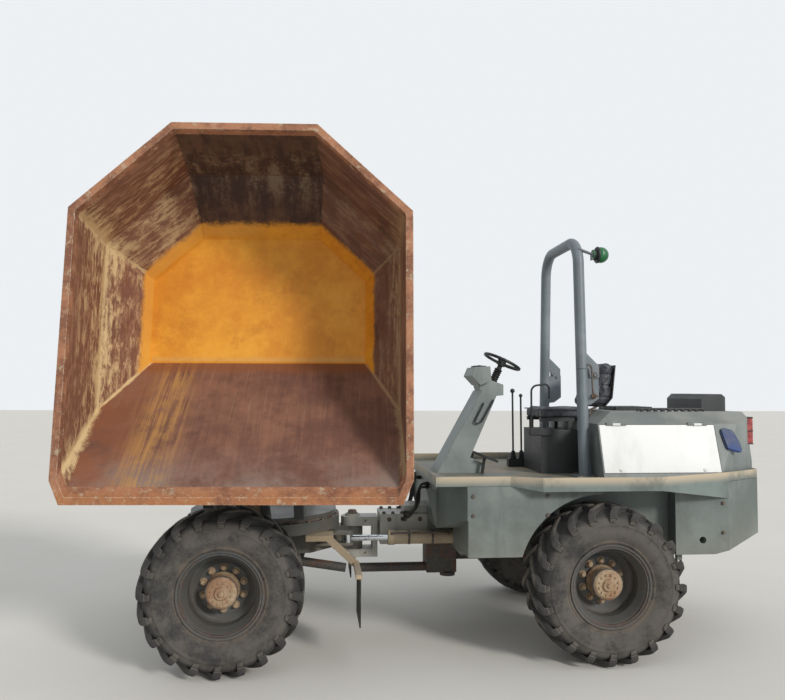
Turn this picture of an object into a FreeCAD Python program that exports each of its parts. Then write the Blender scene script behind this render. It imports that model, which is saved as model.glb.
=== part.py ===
import FreeCAD, Part
import math
import os

V = FreeCAD.Vector
os.makedirs("parts", exist_ok=True)

# Sizes in millimetres. X runs forward, Y to the machine's left, Z up.
# The drawing origin lies on the ground, halfway between the axles.

# clearances and sheet
RUN_GAP = 0.5
FACE_GAP = 0.5
SEAT = 0.2
SHEET = 8.0

# wheels and tyres
WHEELBASE = 2588.0
WIDTH_OVER_TYRES = 2250.0
TYRE_R = 537.5
TYRE_W = 400.0
LUG_HEIGHT = 34.0
LUG_PAIRS = 20
LUG_SWEEP_DEG = 17.0
LUG_WIDE_DEG = 5.2
LUG_END_R = 455.0
RIM_R = 254.0
RIM_FLANGE_R = 282.5
RIM_W = 345.0
RIM_WALL = 10.0
WELL_DROP = 35.0
DISC_INSET = 205.0
DISC_WALL = 12.0
HUB_R = 100.0
HUB_INSET = 55.0
HUB_FLANGE_R = 170.0
STUD_CIRCLE_R = 137.5
STUD_R = 14.0
STUD_COUNT = 10

# axles and drive line
AXLE_TUBE_R = 70.0
AXLE_BELL_R = 155.0
AXLE_NOSE = 240.0
AXLE_MOUNT_Y = 420.0
BRAKE_R = 125.0
SPINDLE_R = 35.0
SHAFT_R = 35.0
SHAFT_LOW_Z = 450.0

# centre pivot and steering
PIVOT_X = 400.0
FORK_R = 90.0
FORK_TOP_Z = 860.0
FORK_TOP_PLATE = 70.0
FORK_LOW_Z = 550.0
FORK_LOW_PLATE = 60.0
FORK_REAR_X = 205.0
KINGPIN_R = 35.0
PIVOT_BLOCK = (-80.0, 190.0)
PIVOT_BLOCK_Z = (660.0, 890.0)
STEER_RAM_Z = 730.0
STEER_EYE = (450.0, 250.0)
STEER_BASE = (-420.0, 265.0)
STEER_LIMIT_DEG = 32.0
STEER_PIN_R = 18.0
STEER_BARREL = 560.0
STEER_ROD = 560.0

# rear hull
HULL_FRONT_X = -180.0
NOSE_HALF = 600.0
NOSE_CORNER_X = -340.0
SIDE_HALF = 950.0
HULL_LOW_Z = 675.0
SIDE_LOW_Z = 715.0
NOSE_LOW_Z = 860.0
NOSE_SIDE_LOW_Z = 965.0
ARCH_R = 600.0
WELL_HALF = 660.0
TAIL_X = -WHEELBASE / 2 - 606.0
TAIL_HALF = 780.0
TAIL_FOLD_X = -WHEELBASE / 2 - 1011.0
REAR_OVERHANG = 1366.0
TAIL_X_REAR = -WHEELBASE / 2 - REAR_OVERHANG
TAIL_REAR_HALF = 560.0
TAIL_RISE_X = TAIL_X_REAR + 460.0
TAIL_RISE = 110.0

# deck, its raised edge and the mudguards
DECK_Z = 1205.0
DECK_PLATE = 10.0
EDGE_Z = 1265.0
EDGE_LOW_Z = 1197.0
GUARD_LOW_Z = 1169.0
FOLD_LOW_Z = 1075.0
DECK_FRONT_X = -120.0
GUARD_START_X = -WHEELBASE / 2 + 654.0
GUARD_FULL_X = -WHEELBASE / 2 + 454.0
GUARD_END_X = -WHEELBASE / 2 - 386.0
GUARD_HALF = 1050.0

# engine cover
COVER_FRONT_X = -1385.0
COVER_REAR_X = TAIL_X_REAR + 10.0
COVER_HALF = 749.0
COVER_SIDE_HALF = 620.0
COVER_TOP_HALF = 470.0
COVER_REAR_HALF = 510.0
COVER_SIDE_Z = 1608.0
COVER_TOP_Z = 1697.0
COVER_SLOPE = 155.0
COVER_LEDGE_Z = 1448.0
COVER_LEDGE = 50.0
DOOR_FRONT_X = COVER_FRONT_X - 10.0
DOOR_REAR_X = COVER_REAR_X + 365.0
DOOR_LOW_Z = DECK_Z + 53.0
DOOR_TOP_Z = COVER_SIDE_Z - 6.0
DOOR_GAP = 3.0
DOOR_AXIS = (COVER_SIDE_HALF + 9.0, COVER_SIDE_Z - 2.0)
DOOR_BARREL_R = 8.0
DOOR_PIN_R = 4.0
LAMP_IN_Y = 442.0
LAMP_WIDE = 76.0
LAMP_HIGH = 208.0
VENT_LENGTH = 300.0
VENT_HALF = 190.0
VENT_FRONT_X = COVER_FRONT_X - 315.0
INTAKE_LENGTH = 200.0
INTAKE_HALF = 300.0
INTAKE_HIGH = 135.0
INTAKE_REAR_X = COVER_REAR_X + 90.0
HITCH_X = TAIL_X_REAR - 70.0
HITCH_R = 16.0
HITCH_LOW_Z = 900.0
HITCH_GAP = 70.0
HITCH_PLATE = 20.0

# operator's station
SEAT_BASE = (-1365.0, -1065.0)
SEAT_BASE_HALF = 250.0
SEAT_BASE_TOP_Z = 1544.0
CUSHION_LOW_Z = 1640.0
CUSHION_TOP_Z = 1715.0
CUSHION_HALF = 235.0
BACK_HALF = 220.0
CONSOLE_HALF = 170.0
WHEEL_CENTRE = (-817.0, 2089.0)
WHEEL_TILT_DEG = 25.4
WHEEL_RING_R = 150.0
WHEEL_GRIP_R = 12.0
WHEEL_SHAFT = 240.0

# roll hoop
HOOP_X = -1318.0
HOOP_R = 42.0
HOOP_FOOT_HALF = 519.0
HOOP_TOP_HALF = 409.0
HOOP_TOP_Z = 3069.0
HOOP_BEND = 200.0
HOOP_SPLIT_Z = 2019.0
HOOP_PIN = (-1420.0, 1974.0)
HOOP_PIN_R = 10.0
HOOP_LOCK = (-1415.0, 1814.0)
HOOP_PLATE = 12.0
BEACON = (-1500.0, 410.0, 2910.0)
BEACON_R = 62.0

# turntable
TURN_X = 1090.0
SPINE_LOW_Z = 640.0
TABLE_LOW_Z = 800.0
TABLE_TOP_Z = 885.0
TABLE_R = 585.0
RING_TOP_Z = 905.0
RING_R = 550.0
SWIVEL_PLATE_Z = 930.0

# swivel frame and skip, drawn facing forward about the turntable's axis
SKIP_REST_TURN_DEG = 86.0
SWIVEL_LIMIT_DEG = 90.0
TIPPED_DEG = 83.75
LOWERED_DEG = 7.75
LIP_TIPPED = (1454.5, 1163.7)
TIP_PIN = (866.6, 1494.7)
TIP_PIN_R = 30.0
RAM_BASE = (608.0, 1003.0)
RAM_PIN_R = 28.0
RAM_EYE_VD = (1590.0, 1115.0)
TIP_BARREL = 850.0
TIP_ROD = 912.0
BEAM_Y = 320.0
BEAM_W = 70.0

# skip: v along the rim plane from the lip to the rear, w to the side, d down from the rim plane
RIM_LIP_HALF = 1027.0
RIM_HALF = 1092.0
RIM_LIP_RISE = 144.5
RIM_SHOULDER = 1849.5
RIM_REAR = 2430.5
RIM_REAR_HALF = 472.0
RING_DEPTH = 560.0
RING_HALF = 1033.0
RING_SHOULDER = 1779.0
RING_REAR_HALF = 478.0
FLOOR_DEPTH = 960.0
FLOOR_FRONT = 1005.0
FLOOR_HALF = 787.0
FLOOR_SHOULDER = 1620.0
FLOOR_REAR_HALF = 437.0
RIM_BAR = 45.0
RIM_BAR_DEPTH = 60.0

AXLE_X = WHEELBASE / 2
WHEEL_Y = (WIDTH_OVER_TYRES - TYRE_W) / 2
AXLE_Z = TYRE_R
HUB_BACK = RIM_W / 2 - DISC_INSET - 30.0
HUB_BACK_Y = WHEEL_Y + HUB_BACK


def box(x0, x1, y0, y1, z0, z1):
    return Part.makeBox(x1 - x0, y1 - y0, z1 - z0, V(x0, y0, z0))


def side_box(x0, x1, y0, y1, z0, z1, side):
    """A box whose Y range is measured outward from the middle on one side."""
    low, high = sorted((side * y0, side * y1))
    return box(x0, x1, low, high, z0, z1)


def prism(points, direction):
    face = Part.Face(Part.makePolygon([V(*p) for p in points] + [V(*points[0])]))
    return face.extrude(V(*direction))


def side_prism(points, y0, y1):
    return prism([(x, y0, z) for x, z in points], (0, y1 - y0, 0))


def plan_prism(points, z0, z1):
    return prism([(x, y, z0) for x, y in points], (0, 0, z1 - z0))


def cross_prism(points, x0, x1):
    return prism([(x0, y, z) for y, z in points], (x1 - x0, 0, 0))


def two_sided(points):
    """A plan or cross outline closed by its mirror image."""
    return points + [(a, -b) for a, b in reversed(points)]


def rod(a, b, r):
    a, b = V(*a), V(*b)
    return Part.makeCylinder(r, (b - a).Length, a, b - a)


def tube(a, b, r_out, r_in):
    return rod(a, b, r_out).cut(rod(a, b, r_in))


def bent_rod(points, r, bend):
    pts = [V(*p) for p in points]
    edges = []
    start = pts[0]
    for before, corner, after in zip(pts, pts[1:], pts[2:]):
        u = (before - corner).normalize()
        w = (after - corner).normalize()
        half = math.acos(max(-1.0, min(1.0, u.dot(w)))) / 2
        leg = bend / math.tan(half)
        enter = corner + u * leg
        leave = corner + w * leg
        middle = (u + w).normalize()
        top = corner + middle * (bend / math.sin(half) - bend)
        edges.append(Part.LineSegment(start, enter).toShape())
        edges.append(Part.Arc(enter, top, leave).toShape())
        start = leave
    edges.append(Part.LineSegment(start, pts[-1]).toShape())
    ring = Part.Wire([Part.Circle(pts[0], pts[1] - pts[0], r).toShape()])
    return Part.Wire(edges).makePipeShell([ring], True, False)


def spun(profile, centre, axis):
    wire = Part.makePolygon([V(*p) for p in profile] + [V(*profile[0])])
    return Part.Face(wire).revolve(V(*centre), V(*axis), 360)


def fuse(shapes):
    first, rest = shapes[0], list(shapes[1:])
    return first.fuse(rest) if rest else first


def mirrored(shape):
    return shape.mirror(V(0, 0, 0), V(0, 1, 0))


def both_sides(shape):
    return [shape, mirrored(shape)]


def faceted(faces):
    made = []
    for points in faces:
        made.append(Part.Face(Part.makePolygon([V(*p) for p in points] + [V(*points[0])])))
    solid = Part.makeSolid(Part.makeShell(made))
    if solid.Volume < 0:
        solid.reverse()
    return solid


def grown_ring(points, grow):
    """A closed outline in a plane, each edge moved outward by grow."""
    count = len(points)
    area = sum(points[k][0] * points[(k + 1) % count][1] - points[(k + 1) % count][0] * points[k][1]
               for k in range(count))
    turn = 1.0 if area > 0 else -1.0
    lines = []
    for k in range(count):
        (x0, y0), (x1, y1) = points[k], points[(k + 1) % count]
        length = math.hypot(x1 - x0, y1 - y0)
        nx, ny = turn * (y1 - y0) / length, -turn * (x1 - x0) / length
        lines.append((nx, ny, nx * x0 + ny * y0 + grow))
    out = []
    for k in range(count):
        a1, b1, c1 = lines[k - 1]
        a2, b2, c2 = lines[k]
        det = a1 * b2 - a2 * b1
        out.append(((c1 * b2 - c2 * b1) / det, (a1 * c2 - a2 * c1) / det))
    return out


NODES = {}


def node(name, shape):
    NODES[name] = shape


# wheels: drawn with the axle on Y, outer face towards +Y, centre at the origin
def tyre_shape():
    half = TYRE_W / 2
    tread = TYRE_R - LUG_HEIGHT
    bead_y = RIM_W / 2 - 12.0
    side = [
        (bead_y, RIM_R + 1.0),
        (bead_y, RIM_FLANGE_R + 4.0),
        (half - 12.0, RIM_FLANGE_R + 50.0),
        (half, 385.0),
        (half - 12.0, LUG_END_R - 5.0),
        (half - 55.0, tread - 8.0),
    ]
    profile = [(0, -y, r) for y, r in side] + [(0, 0, tread)] + [(0, y, r) for y, r in reversed(side)]
    carcass = spun(profile, (0, 0, 0), (0, 1, 0))
    sunk = 20.0

    def at(angle_deg, y, r):
        a = math.radians(angle_deg)
        return (r * math.sin(a), y, r * math.cos(a))

    # stations of one lug, from the tyre's middle to its side wall: y, angle, top radius, root radius, width
    stations = [
        (-12.0, 0.0, TYRE_R, tread - sunk, LUG_WIDE_DEG),
        (half * 0.55, LUG_SWEEP_DEG * 0.62, TYRE_R - 2.0, tread - sunk - 4.0, LUG_WIDE_DEG * 0.95),
        (half - 4.0, LUG_SWEEP_DEG, TYRE_R - 22.0, tread - sunk - 30.0, LUG_WIDE_DEG * 1.1),
        (half, LUG_SWEEP_DEG * 1.03, LUG_END_R, LUG_END_R - 15.0, LUG_WIDE_DEG * 0.9),
    ]
    lugs = []
    for k in range(LUG_PAIRS):
        for side_sign in (1, -1):
            base = 360.0 / LUG_PAIRS * (k + (0.5 if side_sign < 0 else 0.0))
            rings = []
            for y, angle, top, root, wide in stations:
                a = base + angle
                foot, crown = wide * 0.575, wide * 0.425
                rings.append([
                    at(a - foot, side_sign * y, root),
                    at(a + foot, side_sign * y, root),
                    at(a + crown, side_sign * y, top),
                    at(a - crown, side_sign * y, top),
                ])
            faces = []
            for one, two in zip(rings, rings[1:]):
                for j in range(4):
                    i = (j + 1) % 4
                    faces.append([one[j], one[i], two[i]])
                    faces.append([one[j], two[i], two[j]])
            first, last = rings[0], rings[-1]
            faces += [[first[0], first[1], first[2]], [first[0], first[2], first[3]]]
            faces += [[last[0], last[1], last[2]], [last[0], last[2], last[3]]]
            lugs.append(faceted(faces))
    return carcass.fuse(lugs)


def stud_places():
    turns = [2 * math.pi * k / STUD_COUNT for k in range(STUD_COUNT)]
    return [(STUD_CIRCLE_R * math.sin(a), STUD_CIRCLE_R * math.cos(a)) for a in turns]


def rim_shape():
    half = RIM_W / 2
    disc_y = half - DISC_INSET
    well = RIM_R - WELL_DROP
    rim = [
        (half, RIM_FLANGE_R),
        (half, RIM_FLANGE_R - 12.0),
        (half - 40.0, RIM_R - RIM_WALL),
        (half - 90.0, well),
        (-half + 60.0, well),
        (-half + 40.0, RIM_R - RIM_WALL),
        (-half, RIM_FLANGE_R - 12.0),
        (-half, RIM_FLANGE_R),
        (-half + 10.0, RIM_FLANGE_R),
        (-half + 10.0, RIM_R),
        (-half + 40.0, RIM_R),
        (-half + 65.0, well + RIM_WALL),
        (half - 95.0, well + RIM_WALL),
        (half - 45.0, RIM_R),
        (half - 10.0, RIM_R),
        (half - 10.0, RIM_FLANGE_R),
    ]
    step = 30.0
    disc = [
        (disc_y, HUB_FLANGE_R - 100.0),
        (disc_y, HUB_FLANGE_R - 5.0),
        (disc_y + step, well - 14.0),
        (disc_y + step, well + 5.0),
        (disc_y + step - DISC_WALL, well + 5.0),
        (disc_y + step - DISC_WALL, well - 11.0),
        (disc_y - DISC_WALL, HUB_FLANGE_R),
        (disc_y - DISC_WALL, HUB_FLANGE_R - 100.0),
    ]
    holes = [rod((x, disc_y - 50.0, z), (x, disc_y + 50.0, z), STUD_R + RUN_GAP) for x, z in stud_places()]
    rings = [spun([(0, y, r) for y, r in outline], (0, 0, 0), (0, 1, 0)) for outline in (rim, disc)]
    return rings[0].fuse(rings[1].cut(holes))


def hub_shape():
    half = RIM_W / 2
    disc_y = half - DISC_INSET
    face_y = half - HUB_INSET
    bore = HUB_FLANGE_R - 101.0
    profile = [
        (disc_y - 30.0, 0.0),
        (disc_y - 30.0, HUB_FLANGE_R),
        (disc_y - DISC_WALL - 2.0, HUB_FLANGE_R),
        (disc_y - DISC_WALL - 2.0, bore),
        (disc_y + 20.0, bore),
        (disc_y + 20.0, HUB_R + 12.0),
        (disc_y + 50.0, HUB_R),
        (face_y - 12.0, HUB_R),
        (face_y, HUB_R - 14.0),
        (face_y, 46.0),
        (face_y + 16.0, 38.0),
        (face_y + 16.0, 0.0),
    ]
    body = spun([(0, y, r) for y, r in profile], (0, 0, 0), (0, 1, 0))
    socket = rod((0, HUB_BACK - 10.0, 0), (0, HUB_BACK + 52.0, 0), SPINDLE_R + RUN_GAP)
    studs = [rod((x, disc_y - DISC_WALL - 2.0, z), (x, disc_y + 34.0, z), STUD_R) for x, z in stud_places()]
    return fuse([body.cut(socket)] + studs)


WHEELS = (
    ("front_left", AXLE_X, 1),
    ("front_right", AXLE_X, -1),
    ("rear_left", -AXLE_X, 1),
    ("rear_right", -AXLE_X, -1),
)
wheel_pieces = (("tyre", tyre_shape()), ("rim", rim_shape()), ("hub", hub_shape()))
for name, x, side in WHEELS:
    for kind, shape in wheel_pieces:
        piece = shape if side > 0 else mirrored(shape)
        node(f"{kind}_{name}", piece.translated(V(x, side * WHEEL_Y, AXLE_Z)))

# deck with its raised edge, which is also the mudguards' flange
deck_outline = two_sided([
    (DECK_FRONT_X, SIDE_HALF),
    (GUARD_START_X, SIDE_HALF),
    (GUARD_FULL_X, GUARD_HALF),
    (GUARD_END_X, GUARD_HALF),
    (TAIL_FOLD_X, TAIL_HALF),
    (TAIL_X_REAR, TAIL_REAR_HALF),
])
edge = plan_prism(deck_outline, FOLD_LOW_Z, EDGE_Z)
edge = edge.cut(plan_prism(grown_ring(deck_outline, -SHEET), FOLD_LOW_Z - 1.0, EDGE_Z + 1.0))
below_edge = side_prism([
    (DECK_FRONT_X + 10.0, EDGE_LOW_Z), (GUARD_START_X, EDGE_LOW_Z), (GUARD_FULL_X, GUARD_LOW_Z),
    (GUARD_END_X, GUARD_LOW_Z), (TAIL_FOLD_X, FOLD_LOW_Z), (TAIL_FOLD_X - 1.0, EDGE_LOW_Z),
    (TAIL_X_REAR - 10.0, EDGE_LOW_Z), (TAIL_X_REAR - 10.0, FOLD_LOW_Z - 50.0),
    (DECK_FRONT_X + 10.0, FOLD_LOW_Z - 50.0),
], -GUARD_HALF - 10.0, GUARD_HALF + 10.0)
floor_plate = plan_prism(grown_ring(deck_outline, -SHEET / 2), DECK_Z - DECK_PLATE, DECK_Z)
engine_hole = box(COVER_REAR_X + 90.0, COVER_FRONT_X - 40.0, -COVER_SIDE_HALF + 40.0, COVER_SIDE_HALF - 40.0,
                  DECK_Z - DECK_PLATE - 1.0, DECK_Z + 1.0)
node("deck", edge.cut(below_edge).fuse(floor_plate.cut(engine_hole)))

# rear hull: nose with its ram pocket, wheel wells and tapering tail
hull_top = DECK_Z - DECK_PLATE
hull_plan = two_sided([
    (HULL_FRONT_X, NOSE_HALF),
    (NOSE_CORNER_X, SIDE_HALF),
    (-AXLE_X, SIDE_HALF),
    (-AXLE_X, WELL_HALF),
    (TAIL_X, WELL_HALF),
    (TAIL_X, TAIL_HALF),
    (TAIL_FOLD_X, TAIL_HALF),
    (TAIL_X_REAR, TAIL_REAR_HALF),
])
hull = plan_prism(hull_plan, HULL_LOW_Z, hull_top)
hollow_outline = two_sided([
    (HULL_FRONT_X - 60.0, NOSE_HALF - 60.0),
    (NOSE_CORNER_X, WELL_HALF - 50.0),
    (TAIL_FOLD_X, WELL_HALF - 50.0),
    (TAIL_X_REAR + 60.0, TAIL_REAR_HALF - 60.0),
])
hull_floor_z = NOSE_LOW_Z + 20.0
hollow = plan_prism(hollow_outline, hull_floor_z, hull_top + 1.0)
room = plan_prism(two_sided([(-620.0, WELL_HALF - 50.0), (TAIL_FOLD_X, WELL_HALF - 50.0)]),
                  HULL_LOW_Z + 100.0, hull_floor_z + 1.0)
arch = rod((-AXLE_X, WELL_HALF, AXLE_Z), (-AXLE_X, GUARD_HALF + 50.0, AXLE_Z), ARCH_R)
tail_cut = side_prism([
    (TAIL_RISE_X, HULL_LOW_Z), (TAIL_X_REAR - 1.0, HULL_LOW_Z + TAIL_RISE), (TAIL_X_REAR - 1.0, HULL_LOW_Z - 50.0),
    (TAIL_RISE_X, HULL_LOW_Z - 50.0),
], -SIDE_HALF, SIDE_HALF)
nose_back_x = NOSE_CORNER_X - 5.0
nose_open = cross_prism([
    (370.0, HULL_LOW_Z - 50.0), (370.0, NOSE_LOW_Z), (NOSE_HALF, NOSE_LOW_Z), (930.0, NOSE_SIDE_LOW_Z),
    (SIDE_HALF + 10.0, NOSE_SIDE_LOW_Z), (SIDE_HALF + 10.0, HULL_LOW_Z - 50.0),
], nose_back_x, HULL_FRONT_X + 10.0)
pocket_back_x = -500.0
pocket = box(pocket_back_x, HULL_FRONT_X + 10.0, 170.0, 370.5, HULL_LOW_Z - 50.0, NOSE_LOW_Z)
side_cut = box(-AXLE_X + 394.0, nose_back_x + 1.0, WELL_HALF, SIDE_HALF + 10.0, HULL_LOW_Z - 10.0, SIDE_LOW_Z)
cuts = [hollow, room, tail_cut]
for shape in (arch, nose_open, pocket, side_cut):
    cuts += both_sides(shape)
hull = hull.cut(cuts)
barrel_pin = rod((STEER_BASE[0], STEER_BASE[1], HULL_LOW_Z - 35.0), (STEER_BASE[0], STEER_BASE[1], NOSE_LOW_Z + 5.0),
                 STEER_PIN_R)
pin_plate = box(pocket_back_x - 40.0, STEER_BASE[0] + 45.0, 100.0, 372.0, HULL_LOW_Z - 35.0, HULL_LOW_Z)
tie_x = TAIL_X - 55.0
tie_down = box(tie_x - 20.0, tie_x + 20.0, 690.0, 720.0, HULL_LOW_Z - 100.0, HULL_LOW_Z)
tie_down = tie_down.cut(rod((tie_x, 680.0, HULL_LOW_Z - 60.0), (tie_x, 730.0, HULL_LOW_Z - 60.0), 12.0))
weight_x = TAIL_RISE_X + 40.0
counterweight = side_prism([(weight_x + 170.0, HULL_LOW_Z), (weight_x, HULL_LOW_Z), (weight_x, HULL_LOW_Z - 75.0)],
                           -450.0, 450.0)
nose_gusset = side_prism([(HULL_FRONT_X, NOSE_LOW_Z + 5.0), (HULL_FRONT_X, DECK_Z - 70.0), (HULL_FRONT_X + 75.0, DECK_Z - 70.0)],
                         NOSE_HALF - 12.0, NOSE_HALF)
lash_x = TAIL_X - 205.0
lash_z = HULL_LOW_Z + 102.0
lash_hole = rod((lash_x, -TAIL_HALF - 10.0, lash_z), (lash_x, TAIL_HALF + 10.0, lash_z), 25.0)
hull = fuse([hull, barrel_pin, pin_plate, counterweight] + both_sides(tie_down) + both_sides(nose_gusset))
hull = hull.cut([NODES["deck"], lash_hole])
node("rear_chassis", hull)

# centre pivot head: block on the hull's front wall, fork for the front frame and its kingpin
block_x0, block_x1 = PIVOT_BLOCK
block_z0, block_z1 = PIVOT_BLOCK_Z
head = [box(HULL_FRONT_X + SEAT, block_x1, -160.0, 160.0, block_z0, block_z1)]
head.append(box(HULL_FRONT_X + SEAT, block_x0 + 80.0, -130.0, 130.0, block_z1, block_z1 + 60.0))
for z0, plate in ((FORK_TOP_Z - FORK_TOP_PLATE, FORK_TOP_PLATE), (FORK_LOW_Z, FORK_LOW_PLATE)):
    head.append(box(FORK_REAR_X, PIVOT_X, -FORK_R, FORK_R, z0, z0 + plate))
    head.append(Part.makeCylinder(FORK_R, plate, V(PIVOT_X, 0, z0)))
fork_mid_z = (FORK_LOW_Z + FORK_TOP_Z) / 2
head.append(box(FORK_REAR_X, FORK_REAR_X + 40.0, -FORK_R, FORK_R, FORK_LOW_Z, FORK_TOP_Z))
head.append(rod((block_x1 - 10.0, 0, fork_mid_z + 40.0), (FORK_REAR_X + 10.0, 0, fork_mid_z + 40.0), 72.0))
head.append(rod((PIVOT_X, 0, FORK_LOW_Z - 20.0), (PIVOT_X, 0, FORK_TOP_Z + 20.0), KINGPIN_R))
head.append(rod((PIVOT_X, 0, FORK_TOP_Z), (PIVOT_X, 0, FORK_TOP_Z + 15.0), 58.0))
node("pivot_head", fuse(head))


# axles: a tube with its bell, brake drums, spindles and the mounts under the frame
def axle_shape(x, nose, mount_z):
    parts = [rod((x, -HUB_BACK_Y + 60.0, AXLE_Z), (x, HUB_BACK_Y - 60.0, AXLE_Z), AXLE_TUBE_R)]
    parts.append(Part.makeSphere(AXLE_BELL_R, V(x, 0, AXLE_Z)))
    parts.append(rod((x, 0, AXLE_Z), (x + nose, 0, AXLE_Z), AXLE_TUBE_R + 5.0))
    for side in (1, -1):
        drum = HUB_BACK_Y - RUN_GAP
        parts.append(rod((x, side * (drum - 90.0), AXLE_Z), (x, side * drum, AXLE_Z), BRAKE_R))
        parts.append(rod((x, side * (drum - 10.0), AXLE_Z), (x, side * (drum + 50.0), AXLE_Z), SPINDLE_R))
        parts.append(side_box(x - 80.0, x + 80.0, AXLE_MOUNT_Y - 60.0, AXLE_MOUNT_Y + 60.0, AXLE_Z,
                              mount_z - SEAT, side))
    above = box(x - AXLE_BELL_R - 1.0, x + AXLE_BELL_R + 1.0, -AXLE_BELL_R, AXLE_BELL_R, mount_z - SEAT,
                mount_z + AXLE_BELL_R)
    return fuse(parts).cut(above)


node("rear_axle", axle_shape(-AXLE_X, AXLE_NOSE, HULL_LOW_Z))
node("engine", box(COVER_REAR_X + 350.0, COVER_FRONT_X - 115.0, -330.0, 330.0, HULL_LOW_Z + 100.0 + SEAT,
                   COVER_TOP_Z - 197.0))

# drive line under the hull
transfer = box(-420.0, -185.0, -150.0, 95.0, 420.0, HULL_LOW_Z - SEAT)
drum = rod((-353.0, 60.0, 395.0), (-353.0, 60.0, 420.0), 60.0)
node("transfer_box", transfer.fuse(drum))
node("rear_shaft", rod((-420.0 - SEAT, 0, AXLE_Z), (-AXLE_X + AXLE_NOSE + SEAT, 0, AXLE_Z), SHAFT_R))
node("pivot_shaft", rod((-185.0 + SEAT, 0, SHAFT_LOW_Z), (PIVOT_X - 60.0, 0, SHAFT_LOW_Z), SHAFT_R))

# seat on its box
seat_back_x, seat_front_x = SEAT_BASE
node("seat_base", box(seat_back_x, seat_front_x, -SEAT_BASE_HALF, SEAT_BASE_HALF, DECK_Z + SEAT, SEAT_BASE_TOP_Z))
rails = []
for side in (1, -1):
    rails.append(side_box(seat_back_x + 10.0, seat_front_x - 10.0, 165.0, 195.0, CUSHION_LOW_Z - 30.0,
                          CUSHION_LOW_Z - SEAT, side))
    for x in (seat_back_x + 30.0, seat_front_x - 60.0):
        rails.append(side_box(x, x + 30.0, 165.0, 195.0, SEAT_BASE_TOP_Z + SEAT, CUSHION_LOW_Z - 10.0, side))
rails.append(box(seat_back_x + 60.0, seat_back_x + 90.0, -190.0, 190.0, CUSHION_LOW_Z - 25.0, CUSHION_LOW_Z - SEAT))
node("seat_rails", fuse(rails))
node("seat_cushion", side_prism([
    (-1060.0, CUSHION_LOW_Z), (-1400.0, CUSHION_LOW_Z), (-1500.0, CUSHION_TOP_Z - 15.0),
    (-1500.0, CUSHION_TOP_Z), (-1060.0, CUSHION_TOP_Z),
], -CUSHION_HALF, CUSHION_HALF))
node("seat_back", side_prism([
    (-1460.0, CUSHION_TOP_Z + SEAT), (-1575.0, 2085.0), (-1600.0, 2105.0), (-1665.0, 2100.0), (-1690.0, 2070.0),
    (-1660.0, 1790.0), (-1600.0, CUSHION_TOP_Z + SEAT),
], -BACK_HALF, BACK_HALF))

# console, steering head with the dash, steering wheel and the driver's controls
node("console", side_prism([
    (-253.0, DECK_Z + SEAT), (-610.0, DECK_Z + SEAT), (-610.0, 1285.0), (-513.0, 1320.0), (-728.0, 1808.0),
    (-612.0, 1853.0),
], -CONSOLE_HALF, CONSOLE_HALF))
steering_head = side_prism([
    (-612.0, 1853.0 + SEAT), (-728.0, 1808.0 + SEAT), (-800.0, 1815.0), (-800.0, 1900.0), (-700.0, 1935.0),
    (-595.0, 1905.0),
], -110.0, 110.0)
pod = side_prism([(-530.0, 1970.0), (-560.0, 2040.0), (-680.0, 2045.0), (-690.0, 1930.0), (-600.0, 1895.0)],
                 -CONSOLE_HALF, CONSOLE_HALF)
node("dash", steering_head.fuse(pod))
wheel_c = V(WHEEL_CENTRE[0], 0, WHEEL_CENTRE[1])
tilt = V(-math.sin(math.radians(WHEEL_TILT_DEG)), 0, math.cos(math.radians(WHEEL_TILT_DEG)))
grip = Part.makeTorus(WHEEL_RING_R, WHEEL_GRIP_R, wheel_c, tilt)
shaft = Part.makeCylinder(20.0, WHEEL_SHAFT, wheel_c - tilt * WHEEL_SHAFT, tilt)
boss = Part.makeCylinder(35.0, 40.0, wheel_c - tilt * 35.0, tilt)
across = V(0, 1, 0)
along = tilt.cross(across)
spokes = []
for k in range(3):
    a = math.radians(90.0 + 120.0 * k)
    tip_point = wheel_c + (across * math.cos(a) + along * math.sin(a)) * (WHEEL_RING_R - 2.0)
    spokes.append(Part.makeCylinder(8.0, (tip_point - (wheel_c - tilt * 15.0)).Length, wheel_c - tilt * 15.0,
                                    tip_point - (wheel_c - tilt * 15.0)))
node("steering_wheel", fuse([grip, shaft, boss] + spokes).cut(NODES["dash"]))

# lever: foot x, y, z, top x, y, z, knob radius
LEVERS = (
    (-985.0, -300.0, DECK_Z + SEAT, -980.0, -300.0, 1838.0, 20.0),
    (-1065.0, -330.0, DECK_Z + SEAT, -1060.0, -330.0, 1800.0, 16.0),
)
levers = [box(-1120.0, -940.0, -350.0, -275.0, DECK_Z + SEAT, DECK_Z + 70.0)]
for x0, y0, z0, x1, y1, z1, knob_r in LEVERS:
    levers.append(rod((x0, y0, z0), (x1, y1, z1), 8.0))
    levers.append(Part.makeSphere(knob_r, V(x1, y1, z1 + knob_r * 0.6)))
node("levers", fuse(levers).cut(box(-2000.0, 0.0, -500.0, 500.0, DECK_Z - 100.0, DECK_Z + SEAT)))
pedals = []
for y in (-250.0, 215.0):
    pedals.append(side_prism([(-600.0, 1350.0), (-720.0, 1305.0), (-720.0, 1290.0), (-600.0, 1332.0)], y - 40.0, y + 40.0))
    pedals.append(side_prism([(-612.0, 1340.0), (-590.0, DECK_Z + SEAT), (-612.0, DECK_Z + SEAT), (-632.0, 1330.0)],
                             y - 8.0, y + 8.0))
node("pedals", Part.makeCompound([fuse(pedals[:2]), fuse(pedals[2:])]))


# roll hoop: fixed feet with their gussets and plates, and an upper hoop that folds rearward about its pin
def hoop_half(z):
    share = (z - DECK_Z) / (HOOP_TOP_Z - DECK_Z)
    return HOOP_FOOT_HALF + (HOOP_TOP_HALF - HOOP_FOOT_HALF) * share


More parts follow.
